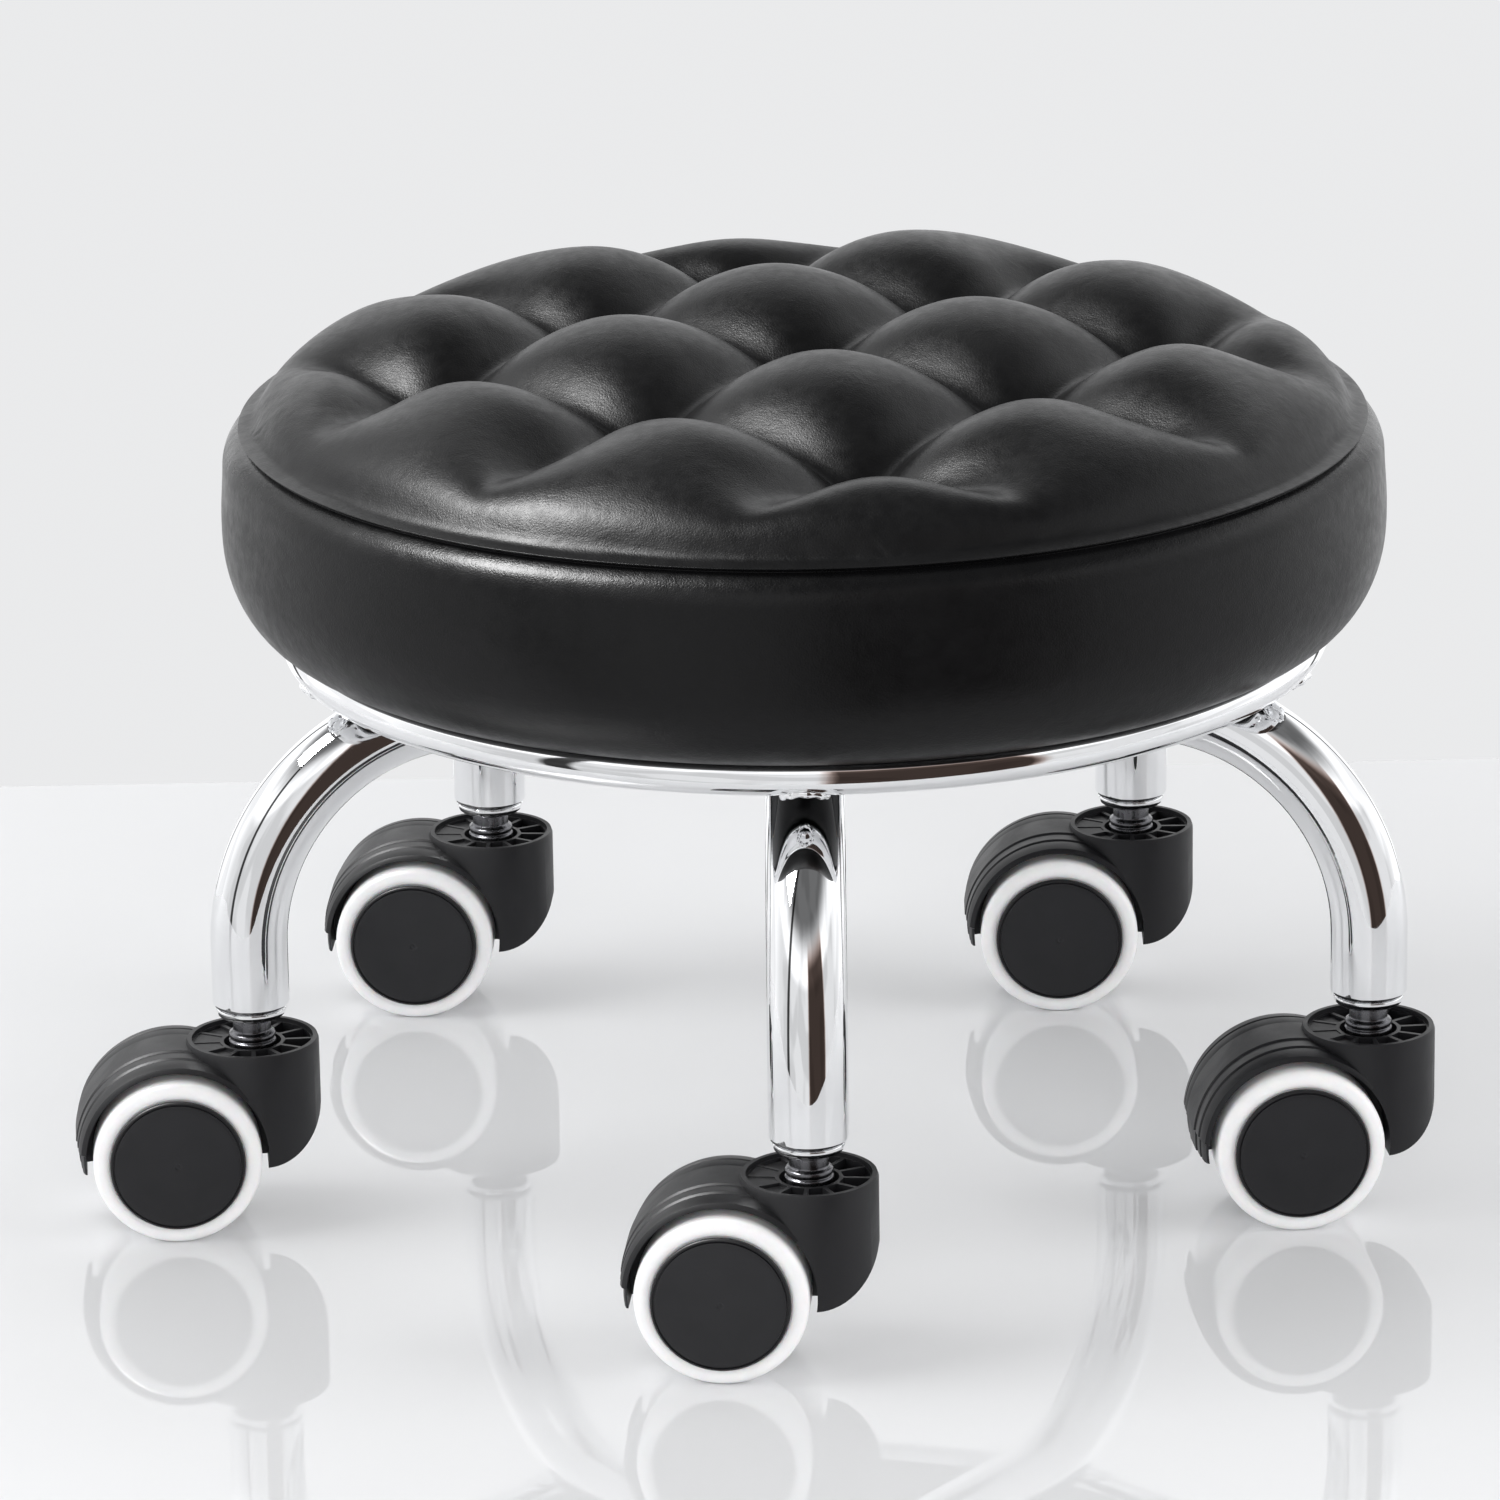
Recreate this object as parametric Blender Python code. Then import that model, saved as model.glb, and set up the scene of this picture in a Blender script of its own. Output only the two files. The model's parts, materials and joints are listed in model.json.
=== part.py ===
"""Rolling stylist stool: a round tufted seat on a five-leg chrome base with twin-wheel casters.

Run with blender --background --python part.py. Metres, +Z up, the floor at z = 0. The bounding box is
centred on the origin, so the seat's axis stands a little off it: every caster trails to the same side.
"""

import math

import bmesh
import bpy
from mathutils import Matrix, Vector

GAP = 0.0003  # between neighbouring solids

# The base: five bent tubes on a circle, named by where they stand.
LEG_ANGLES = {
    "front": math.radians(-90),
    "right": math.radians(-18),
    "back_right": math.radians(54),
    "back_left": math.radians(126),
    "left": math.radians(-162),
}
LEG_CIRCLE_RADIUS = 0.1675
TUBE_RADIUS = 0.011
TUBE_WALL = 0.002
TUBE_FOOT_Z = 0.0635
TUBE_FOOT_ROUNDING = 0.0008
BEND_START_Z = 0.0815
BEND_RADIUS = 0.063
BEND_STEPS = 8
TUBE_SIDES = 12
HUB_RADIUS = 0.024
HUB_SEGMENTS = 30
RING_RADIUS = 0.145
RING_TUBE_RADIUS = 0.0055
RING_Z = 0.1597
RING_SEGMENTS = 50
PLATE_RADIUS = 0.060
PLATE_THICKNESS = 0.003

# The caster, in its own frame: the swivel axis is Z and the wheels trail towards +X.
CASTER_YAWS = {
    "front": math.radians(176),
    "right": math.radians(186.5),
    "back_right": math.radians(180),
    "back_left": math.radians(178),
    "left": math.radians(185.5),
}
WHEEL_RADIUS = 0.024
WHEEL_SEGMENTS = 20
TRAIL = 0.0227
AXLE_RADIUS = 0.003
AXLE_HALF_LENGTH = 0.0212
WEB_HALF_WIDTH = 0.0066
HOOD_HALF_WIDTH = 0.0195
HOOD_RADIUS = 0.0288
SHELL_TIP_ANGLE = math.radians(-9)  # from the axle's height down to the shell's tip
SHELL_BARREL_ANGLE = math.radians(141)  # where the shell runs into the barrel
POCKET_RADIUS = 0.026
AXLE_BOSS_RADIUS = 0.009
BARREL_RADIUS = 0.019
BARREL_TOP_Z = 0.0536
BARREL_FOOT_Z = 0.0202
BARREL_CORNER = (-0.003, 0.035)  # centre of the rounding under the barrel's far side
BARREL_SIDE_STEPS = 5
WEB_CORNER = (0.004, 0.0215)
SOCKET_RADIUS = 0.0173
SOCKET_FLOOR_Z = 0.0440
SOCKET_BOSS_RADIUS = 0.0094
SOCKET_BOSS_Z = 0.0497
RIB_TOP_Z = 0.0524
RIB_COUNT = 12
RIB_THICKNESS = 0.0012
RIB_END_RADIUS = 0.0165
HOOD_SEGMENTS = 20
STEM_RADIUS = 0.0045
STEM_TIP_Z = 0.0273
STEM_SPRING_RADIUS = 0.0054
COLLAR_RADIUS = 0.0068
COLLAR_RECESS_RADIUS = 0.0082
COLLAR_TOP_Z = 0.0552
SLEEVE_BORE_RADIUS = 0.0057
SLEEVE_TOP_Z = 0.0815
FLANGE_RADIUS = 0.0100
FLANGE_Z = 0.0600

# The wheel, from the caster's middle plane outwards.
CORE_RADIUS = 0.0185
CORE_INNER_Y = 0.0072
CAP_RADIUS = 0.0192
CAP_BACK_Y = 0.0230
CAP_EDGE_Y = 0.0242
CAP_MIDDLE_Y = 0.0250
TYRE_INNER_Y = 0.0080
TYRE_OUTER_Y = 0.0232
TYRE_INNER_ROUNDING = 0.0014
TYRE_OUTER_ROUNDING = 0.0030
TYRE_SHOULDER_RADIUS = 0.0228

# The seat: a plywood board with foam, both wrapped in one cover that folds in under the board.
BOARD_RADIUS = 0.1346
BOARD_THICKNESS = 0.012
COVER_THICKNESS = 0.0012
COVER_HEM_RADIUS = 0.112
COVER_FOLD = ((0.1385, 0.1668), (0.1485, 0.1666))  # the flat fold between the board and the side
SIDE_ROUNDING_RADIUS = 0.0204
SIDE_ROUNDING_HEIGHT = 0.0289
SEAT_RADIUS = 0.1665
SEAT_WIDEST_Z = 0.1924
SEAM_RADIUS = 0.1630
SEAM_Z = 0.2225
SHOULDER = ((0.154, 0.2355), (0.137, 0.2430), (0.110, 0.2475))
SEAT_TOP_Z = 0.250
SEAT_SEGMENTS = 36
SCREW_CIRCLE_RADIUS = 0.042
SCREW_RADIUS = 0.0022
SCREW_HEAD_RADIUS = 0.0041
SCREW_CROWN_RADIUS = 0.0030
SCREW_HEAD_HEIGHT = 0.0024
SCREW_SHOULDER_DEPTH = 0.004  # below the board's top
SCREW_TIP_DEPTH = 0.0026
PILOT_HOLE_DEPTH = 0.002
SCREW_SEGMENTS = 10
CUTTER_REACH = 0.01  # how far a cutter runs past what it cuts

AXLE_Z = WHEEL_RADIUS
RUN_Z = BEND_START_Z + BEND_RADIUS
TUBE_TOP_Z = RUN_Z + TUBE_RADIUS
PLATE_Z = TUBE_TOP_Z + GAP
BOARD_Z = PLATE_Z + PLATE_THICKNESS + GAP
BOARD_TOP_Z = BOARD_Z + BOARD_THICKNESS
HEM_Z = BOARD_Z - GAP - COVER_THICKNESS
HUB_Z = RUN_Z - TUBE_RADIUS

# Colour, metallic and roughness of each finish.
FINISHES = {
    "black_faux_leather": ((0.012, 0.012, 0.013), 0.0, 0.38),
    "foam": ((0.80, 0.74, 0.55), 0.0, 0.95),
    "plywood": ((0.55, 0.38, 0.22), 0.0, 0.70),
    "dust_cloth": ((0.03, 0.03, 0.03), 0.0, 0.95),
    "chrome": ((0.80, 0.80, 0.82), 1.0, 0.06),
    "zinc_plated_steel": ((0.60, 0.61, 0.63), 1.0, 0.32),
    "black_nylon": ((0.022, 0.022, 0.024), 0.0, 0.50),
    "white_polyurethane": ((0.86, 0.86, 0.87), 0.0, 0.35),
}


def clear_scene():
    for obj in list(bpy.data.objects):
        bpy.data.objects.remove(obj, do_unlink=True)


def finish_material(finish):
    """The Principled material of one finish, made the first time that it is asked for."""
    found = bpy.data.materials.get(finish)
    if found:
        return found
    color, metallic, roughness = FINISHES[finish]
    material = bpy.data.materials.new(finish)
    material.use_nodes = True
    shader = material.node_tree.nodes["Principled BSDF"]
    shader.inputs["Base Color"].default_value = (*color, 1.0)
    shader.inputs["Metallic"].default_value = metallic
    shader.inputs["Roughness"].default_value = roughness
    return material


def empty(name, parent, location=(0, 0, 0), yaw=0.0):
    obj = bpy.data.objects.new(name, None)
    bpy.context.scene.collection.objects.link(obj)
    obj.parent = parent
    obj.location = location
    obj.rotation_euler.z = yaw
    return obj


def piece(name, mesh, finish, parent, location=(0, 0, 0), yaw=0.0):
    """Places a mesh as a named piece, smooth except at its sharp edges."""
    obj = bpy.data.objects.new(name, mesh)
    bpy.context.scene.collection.objects.link(obj)
    obj.parent = parent
    obj.location = location
    obj.rotation_euler.z = yaw
    if not mesh.materials:
        mesh.materials.append(finish_material(finish))
        mesh.shade_smooth()
        mesh.set_sharp_from_angle(angle=math.radians(40))
    return obj


def finished_mesh(name, bm):
    bmesh.ops.recalc_face_normals(bm, faces=bm.faces)
    mesh = bpy.data.meshes.new(name)
    bm.to_mesh(mesh)
    bm.free()
    return mesh


def turned(name, outline, segments, phase=0.0, axis="Z"):
    """Turns a closed outline of (radius, height) points about an axis, which the outline may touch."""
    bm = bmesh.new()
    start = Matrix.Rotation(phase, 3, "Z")
    points = [bm.verts.new(start @ Vector((radius, 0, height))) for radius, height in outline]
    pairs = zip(points, points[1:] + points[:1])
    edges = [bm.edges.new(pair) for pair in pairs if max(vert.co.xy.length for vert in pair) > 0]
    bmesh.ops.spin(
        bm,
        geom=points + edges,
        cent=(0, 0, 0),
        axis=(0, 0, 1),
        angle=2 * math.pi,
        steps=segments,
        use_merge=True,
    )
    bmesh.ops.remove_doubles(bm, verts=bm.verts, dist=1e-6)
    if axis == "Y":
        bmesh.ops.rotate(bm, verts=bm.verts, matrix=Matrix.Rotation(math.radians(-90), 3, "X"))
    return finished_mesh(name, bm)


def rod(name, radius, low, high, segments, axis="Z"):
    outline = [(0, low), (radius, low), (radius, high), (0, high)]
    return turned(name, outline, segments, axis=axis)


def moved(mesh, offset):
    mesh.transform(Matrix.Translation(offset))
    return mesh


def prism(name, outline, half_width):
    """Extrudes an (x, z) outline to both sides of the XZ plane."""
    bm = bmesh.new()
    face = bm.faces.new([bm.verts.new((x, -half_width, z)) for x, z in outline])
    grown = bmesh.ops.extrude_face_region(bm, geom=[face])["geom"]
    side = [vert for vert in grown if isinstance(vert, bmesh.types.BMVert)]
    bmesh.ops.translate(bm, verts=side, vec=(0, 2 * half_width, 0))
    return finished_mesh(name, bm)


def combined(name, base, steps):
    """The mesh that is left after each (operation, mesh) Boolean step, in order."""
    collection = bpy.context.scene.collection
    body = bpy.data.objects.new(name, base)
    collection.objects.link(body)
    tools = []
    for operation, mesh in steps:
        tool = bpy.data.objects.new(mesh.name, mesh)
        collection.objects.link(tool)
        tools.append(tool)
        cut = body.modifiers.new(mesh.name, "BOOLEAN")
        cut.solver = "EXACT"
        cut.operation = operation
        cut.object = tool
    graph = bpy.context.evaluated_depsgraph_get()
    mesh = bpy.data.meshes.new_from_object(body.evaluated_get(graph))
    mesh.name = name
    for obj in [body, *tools]:
        bpy.data.objects.remove(obj, do_unlink=True)
    return mesh


def polar(radius, angle, height=0.0):
    return Vector((radius * math.cos(angle), radius * math.sin(angle), height))


def arc(center, radius, first, last, steps):
    """Points of an arc in (across, up) coordinates, with both ends."""
    angles = [first + (last - first) * step / steps for step in range(steps + 1)]
    return [(center[0] + radius * math.cos(a), center[1] + radius * math.sin(a)) for a in angles]


# ---- seat ----


def seat_outline():
    """The seat's outside from the hem, round the side and up to the middle of the top."""
    board_edge = BOARD_RADIUS + COVER_THICKNESS + 0.0008
    outline = [(COVER_HEM_RADIUS, HEM_Z), (board_edge, HEM_Z), *COVER_FOLD]
    rounding_center = SEAT_RADIUS - SIDE_ROUNDING_RADIUS
    for degrees in (17, 40, 65, 90):
        angle = math.radians(degrees)
        across = rounding_center + SIDE_ROUNDING_RADIUS * math.sin(angle)
        outline.append((across, SEAT_WIDEST_Z - SIDE_ROUNDING_HEIGHT * math.cos(angle)))
    outline += [(SEAM_RADIUS, SEAM_Z), *SHOULDER, (0.0, SEAT_TOP_Z)]
    return outline


def inset(outline, distance):
    """The outline moved to its left by a distance, which is inwards for one that runs counter-clockwise."""
    points = [Vector(point) for point in outline]
    sides = [(b - a).normalized() for a, b in zip(points, points[1:])]
    sides = [sides[0], *sides, sides[-1]]
    moved_points = []
    for point, before, after in zip(points, sides, sides[1:]):
        normal = Vector((-before.y - after.y, before.x + after.x)).normalized()
        reach = distance / max(normal.dot(Vector((-after.y, after.x))), 0.5)
        moved_points.append(tuple(point + normal * reach))
    return moved_points


def add_seat(stool):
    outside = seat_outline()
    lining = inset(outside, COVER_THICKNESS)
    lining[-1] = (0.0, SEAT_TOP_Z - COVER_THICKNESS)
    cover = turned("seat_cover", outside + lining[::-1], SEAT_SEGMENTS)
    piece("seat_cover", cover, "black_faux_leather", stool)

    foam_skin = inset(outside[2:], COVER_THICKNESS + GAP)
    foam_skin[-1] = (0.0, SEAT_TOP_Z - COVER_THICKNESS - GAP)
    foam_base = [(0.0, BOARD_TOP_Z + GAP), (BOARD_RADIUS, BOARD_TOP_Z + GAP)]
    foam = turned("seat_foam", foam_base + foam_skin, SEAT_SEGMENTS)
    piece("seat_foam", foam, "foam", stool)

    pilot_holes = []
    for angle in screw_angles():
        hole_top = BOARD_TOP_Z - PILOT_HOLE_DEPTH
        hole = rod("pilot_hole", SCREW_RADIUS + GAP, PLATE_Z - CUTTER_REACH, hole_top, SCREW_SEGMENTS)
        pilot_holes.append(("DIFFERENCE", moved(hole, polar(SCREW_CIRCLE_RADIUS, angle))))
    board = rod("seat_board", BOARD_RADIUS, BOARD_Z, BOARD_TOP_Z, SEAT_SEGMENTS)
    piece("seat_board", combined("seat_board", board, pilot_holes), "plywood", stool)

    inner_edge = PLATE_RADIUS + 0.002
    outer_edge = COVER_HEM_RADIUS - 0.0005
    cloth_z = HEM_Z + 0.0004
    cloth = [
        (inner_edge, cloth_z),
        (outer_edge, cloth_z),
        (outer_edge, BOARD_Z - GAP),
        (inner_edge, BOARD_Z - GAP),
    ]
    piece("dust_cover", turned("dust_cover", cloth, SEAT_SEGMENTS), "dust_cloth", stool)


# ---- base ----


def screw_angles():
    """The seat screws sit half-way between the legs."""
    return [angle + math.radians(36) for angle in LEG_ANGLES.values()]


def leg_stations():
    """(point, direction, outer radius) along the tube, from its foot to the hub, in the leg's XZ plane."""
    up = Vector((0, 0, 1))
    foot = Vector((LEG_CIRCLE_RADIUS, 0, TUBE_FOOT_Z))
    stations = [
        (foot, up, TUBE_RADIUS - TUBE_FOOT_ROUNDING),
        (foot + up * TUBE_FOOT_ROUNDING, up, TUBE_RADIUS),
    ]
    center = Vector((LEG_CIRCLE_RADIUS - BEND_RADIUS, 0, BEND_START_Z))
    for step in range(BEND_STEPS + 1):
        angle = math.radians(90) * step / BEND_STEPS
        outwards = Vector((math.cos(angle), 0, math.sin(angle)))
        along = Vector((-math.sin(angle), 0, math.cos(angle)))
        stations.append((center + outwards * BEND_RADIUS, along, TUBE_RADIUS))
    inner_end = Vector((HUB_RADIUS + GAP, 0, RUN_Z))
    stations.append((inner_end, Vector((-1, 0, 0)), TUBE_RADIUS))
    return stations


def leg_mesh():
    """A tube with a real bore, open at both ends, and a saddle where the ring rests on it."""
    bm = bmesh.new()
    skins = []
    for is_bore in (False, True):
        loops = []
        for center, along, radius in leg_stations():
            radius = TUBE_RADIUS - TUBE_WALL if is_bore else radius
            side = Vector((0, 1, 0))
            across = side.cross(along)
            loop = []
            for index in range(TUBE_SIDES):
                angle = 2 * math.pi * (index + 0.5) / TUBE_SIDES
                offset = across * math.cos(angle) + side * math.sin(angle)
                loop.append(bm.verts.new(center + offset * radius))
            loops.append(loop)
        skins.append(loops)
    outer, bore = skins
    strips = list(zip(outer, outer[1:])) + list(zip(bore, bore[1:]))
    strips += [(outer[0], bore[0]), (outer[-1], bore[-1])]
    for low, high in strips:
        for index in range(TUBE_SIDES):
            after = (index + 1) % TUBE_SIDES
            bm.faces.new((low[index], low[after], high[after], high[index]))
    tube = finished_mesh("leg_tube", bm)
    saddle = ring_mesh("saddle", RING_TUBE_RADIUS + GAP, math.pi / RING_SEGMENTS)
    return combined("leg", tube, [("DIFFERENCE", saddle)])


def ring_mesh(name, tube_radius, phase=0.0):
    """The ring under the seat. A leg's axis crosses it half-way along a segment."""
    section = arc((RING_RADIUS, RING_Z), tube_radius, 0.0, 2 * math.pi, 8)[:-1]
    return turned(name, section, RING_SEGMENTS, phase=phase)


def add_base(stool):
    leg = leg_mesh()
    for place, angle in LEG_ANGLES.items():
        piece(f"leg_{place}", leg, "chrome", stool, yaw=angle)
    piece("seat_ring", ring_mesh("seat_ring", RING_TUBE_RADIUS), "chrome", stool)
    hub = rod("centre_hub", HUB_RADIUS, HUB_Z, TUBE_TOP_Z, HUB_SEGMENTS)
    piece("centre_hub", hub, "chrome", stool)

    through_holes = []
    for angle in screw_angles():
        low, high = PLATE_Z - CUTTER_REACH, PLATE_Z + CUTTER_REACH
        hole = rod("screw_hole", SCREW_RADIUS + GAP, low, high, SCREW_SEGMENTS)
        through_holes.append(("DIFFERENCE", moved(hole, polar(SCREW_CIRCLE_RADIUS, angle))))
    plate = rod("mounting_plate", PLATE_RADIUS, PLATE_Z, PLATE_Z + PLATE_THICKNESS, HUB_SEGMENTS)
    plate = combined("mounting_plate", plate, through_holes)
    piece("mounting_plate", plate, "zinc_plated_steel", stool)

    head_z = PLATE_Z - GAP
    screw_outline = [
        (0, head_z - SCREW_HEAD_HEIGHT),
        (SCREW_CROWN_RADIUS, head_z - SCREW_HEAD_HEIGHT),
        (SCREW_HEAD_RADIUS, head_z),
        (SCREW_RADIUS, head_z),
        (SCREW_RADIUS, BOARD_TOP_Z - SCREW_SHOULDER_DEPTH),
        (0, BOARD_TOP_Z - SCREW_TIP_DEPTH),
    ]
    screw = turned("seat_screw", screw_outline, SCREW_SEGMENTS)
    for number, angle in enumerate(screw_angles(), start=1):
        place = polar(SCREW_CIRCLE_RADIUS, angle)
        piece(f"seat_screw_{number}", screw, "zinc_plated_steel", stool, location=place)


# ---- casters ----


def barrel_side_view():
    """The barrel's (x, z) outline: straight down on the wheels' side, rounded under the far side."""
    corner_x, corner_z = BARREL_CORNER
    reach = BARREL_RADIUS + CUTTER_REACH
    top = BARREL_TOP_Z + CUTTER_REACH
    outline = [(reach, top), (reach, BARREL_FOOT_Z)]
    for step in range(BARREL_SIDE_STEPS + 1):
        angle = math.radians(90) * step / BARREL_SIDE_STEPS
        across = (BARREL_RADIUS + GAP + corner_x) * math.sin(angle)
        outline.append((corner_x - across, corner_z - (corner_z - BARREL_FOOT_Z) * math.cos(angle)))
    return [*outline, (-reach, corner_z), (-reach, top)]


def hood_mesh():
    """The caster's nylon body: a barrel for the stem, a web for the axle and a shell over both wheels."""
    axle = (TRAIL, AXLE_Z)
    barrel = rod("barrel", BARREL_RADIUS, BARREL_FOOT_Z - GAP, BARREL_TOP_Z, HOOD_SEGMENTS)
    side_view = prism("barrel_side_view", barrel_side_view(), BARREL_RADIUS + CUTTER_REACH)

    shell_outline = arc(axle, HOOD_RADIUS, SHELL_TIP_ANGLE, SHELL_BARREL_ANGLE, 9)
    shell_outline.append(WEB_CORNER)
    shell_outline += arc(axle, AXLE_BOSS_RADIUS, math.radians(200), math.radians(335), 4)
    shell = prism("shell", shell_outline, HOOD_HALF_WIDTH)

    steps = [("INTERSECT", side_view), ("UNION", shell)]
    for side in (-1, 1):
        low, high = sorted((side * WEB_HALF_WIDTH, side * (HOOD_HALF_WIDTH + CUTTER_REACH)))
        pocket = rod("wheel_pocket", POCKET_RADIUS, low, high, HOOD_SEGMENTS, axis="Y")
        steps.append(("DIFFERENCE", moved(pocket, (TRAIL, 0, AXLE_Z))))
    top = BARREL_TOP_Z + CUTTER_REACH
    bore = rod("axle_bore", AXLE_RADIUS + GAP, -CUTTER_REACH, CUTTER_REACH, 12, axis="Y")
    steps.append(("DIFFERENCE", moved(bore, (TRAIL, 0, AXLE_Z))))
    steps.append(("DIFFERENCE", rod("rim_recess", SOCKET_RADIUS, RIB_TOP_Z, top, HOOD_SEGMENTS)))
    steps.append(("DIFFERENCE", rod("collar_recess", COLLAR_RECESS_RADIUS, SOCKET_BOSS_Z, top, 10)))
    steps.append(("DIFFERENCE", rib_spaces()))
    steps.append(("DIFFERENCE", rod("stem_bore", STEM_RADIUS + GAP, STEM_TIP_Z - GAP, top, 10)))
    return combined("caster_hood", barrel, steps)


def arch_height(across):
    """The height of the shell's outside over a place on the way from the stem to the axle."""
    return AXLE_Z + math.sqrt(max(HOOD_RADIUS**2 - (TRAIL - across) ** 2, 0.0))


def rib_spaces():
    """The spaces between the socket's ribs. Each one's floor stays above the arch over the wheels."""
    bm = bmesh.new()
    for number in range(RIB_COUNT):
        middle = 2 * math.pi * (number + 0.5) / RIB_COUNT
        corners = []
        for radius, side in (
            (SOCKET_BOSS_RADIUS, -1),
            (RIB_END_RADIUS, -1),
            (RIB_END_RADIUS, 1),
            (SOCKET_BOSS_RADIUS, 1),
        ):
            half = math.pi / RIB_COUNT - math.asin(RIB_THICKNESS / 2 / radius)
            corners.append(polar(radius, middle + side * half))
        floor = max(SOCKET_FLOOR_Z, *(arch_height(corner.x) for corner in corners))
        face = bm.faces.new([bm.verts.new(corner + Vector((0, 0, floor))) for corner in corners])
        grown = bmesh.ops.extrude_face_region(bm, geom=[face])["geom"]
        top = [vert for vert in grown if isinstance(vert, bmesh.types.BMVert)]
        bmesh.ops.translate(bm, verts=top, vec=(0, 0, BARREL_TOP_Z - floor))
    return finished_mesh("rib_spaces", bm)


def stem_mesh():
    outline = [
        (0, STEM_TIP_Z),
        (STEM_RADIUS, STEM_TIP_Z),
        (STEM_RADIUS, SOCKET_BOSS_Z + GAP),
        (COLLAR_RADIUS, SOCKET_BOSS_Z + GAP),
        (COLLAR_RADIUS, COLLAR_TOP_Z),
        (STEM_SPRING_RADIUS, COLLAR_TOP_Z + 0.0008),
        (STEM_SPRING_RADIUS, SLEEVE_TOP_Z + 0.0005),
        (0, SLEEVE_TOP_Z + 0.0020),
    ]
    return turned("caster_stem", outline, 12)


def sleeve_mesh():
    """The leg's insert: its flange shows under the tube, and its bore holds the stem."""
    body_radius = TUBE_RADIUS - TUBE_WALL - GAP - 0.0002
    flange_top = TUBE_FOOT_Z - GAP
    outline = [
        (SLEEVE_BORE_RADIUS, FLANGE_Z),
        (FLANGE_RADIUS - 0.0005, FLANGE_Z),
        (FLANGE_RADIUS, FLANGE_Z + 0.0006),
        (FLANGE_RADIUS, flange_top),
        (body_radius, flange_top),
        (body_radius, SLEEVE_TOP_Z),
        (SLEEVE_BORE_RADIUS, SLEEVE_TOP_Z),
    ]
    return turned("leg_sleeve", outline, 12)


def wheel_core_mesh():
    """The wheel's nylon body: a drum, and a cap that covers the axle's end and the tyre's edge."""
    outline = [
        (AXLE_RADIUS + GAP, CORE_INNER_Y),
        (CORE_RADIUS, CORE_INNER_Y),
        (CORE_RADIUS, CAP_BACK_Y - 0.0005),
        (CAP_RADIUS, CAP_BACK_Y),
        (CAP_RADIUS, CAP_EDGE_Y),
        (0.0, CAP_MIDDLE_Y),
        (0.0, AXLE_HALF_LENGTH + GAP),
        (AXLE_RADIUS + GAP, AXLE_HALF_LENGTH + GAP),
    ]
    half_step = math.pi / WHEEL_SEGMENTS
    return turned("wheel_core", outline, WHEEL_SEGMENTS, phase=half_step, axis="Y")


def tyre_mesh():
    """The tread, with a flat of its outline on the floor."""
    tread = WHEEL_RADIUS / math.cos(math.pi / WHEEL_SEGMENTS)
    outline = [
        (CORE_RADIUS + GAP, TYRE_INNER_Y),
        (TYRE_SHOULDER_RADIUS, TYRE_INNER_Y),
        (tread, TYRE_INNER_Y + TYRE_INNER_ROUNDING),
        (tread, TYRE_OUTER_Y - TYRE_OUTER_ROUNDING),
        (TYRE_SHOULDER_RADIUS, TYRE_OUTER_Y - TYRE_OUTER_ROUNDING / 4),
        (CAP_RADIUS + 2 * GAP, TYRE_OUTER_Y),
        (CORE_RADIUS + GAP, CAP_BACK_Y - 0.0008),
    ]
    half_step = math.pi / WHEEL_SEGMENTS
    return turned("tyre", outline, WHEEL_SEGMENTS, phase=half_step, axis="Y")


def add_casters(stool):
    hood = hood_mesh()
    stem = stem_mesh()
    sleeve = sleeve_mesh()
    axle = rod("caster_axle", AXLE_RADIUS, -AXLE_HALF_LENGTH, AXLE_HALF_LENGTH, 12, axis="Y")
    core = wheel_core_mesh()
    tyre = tyre_mesh()
    for place, angle in LEG_ANGLES.items():
        foot = polar(LEG_CIRCLE_RADIUS, angle)
        piece(f"leg_sleeve_{place}", sleeve, "chrome", stool, location=foot)
        piece(f"caster_stem_{place}", stem, "zinc_plated_steel", stool, location=foot)
        swivel = empty(f"swivel_{place}", stool, location=foot, yaw=CASTER_YAWS[place])
        piece(f"caster_hood_{place}", hood, "black_nylon", swivel)
        center = (TRAIL, 0, AXLE_Z)
        piece(f"caster_axle_{place}", axle, "zinc_plated_steel", swivel, location=center)
        for letter, turn in (("a", 0.0), ("b", math.pi)):
            piece(f"wheel_core_{place}_{letter}", core, "black_nylon", swivel, location=center, yaw=turn)
            piece(f"tyre_{place}_{letter}", tyre, "white_polyurethane", swivel, location=center, yaw=turn)


def centre_on_origin(stool):
    """Moves the whole stool so that the middle of its bounding box stands over the origin."""
    bpy.context.view_layer.update()
    corners = []
    for obj in bpy.data.objects:
        if obj.type == "MESH":
            corners += [obj.matrix_world @ vert.co for vert in obj.data.vertices]
    for index in (0, 1):
        values = [corner[index] for corner in corners]
        stool.location[index] -= (min(values) + max(values)) / 2


def main():
    clear_scene()
    stool = empty("stool", None)
    add_seat(stool)
    add_base(stool)
    add_casters(stool)
    centre_on_origin(stool)


main()
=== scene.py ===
import json
import math

import bmesh
import bpy
import numpy as np
from mathutils import Matrix, Vector


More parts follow.
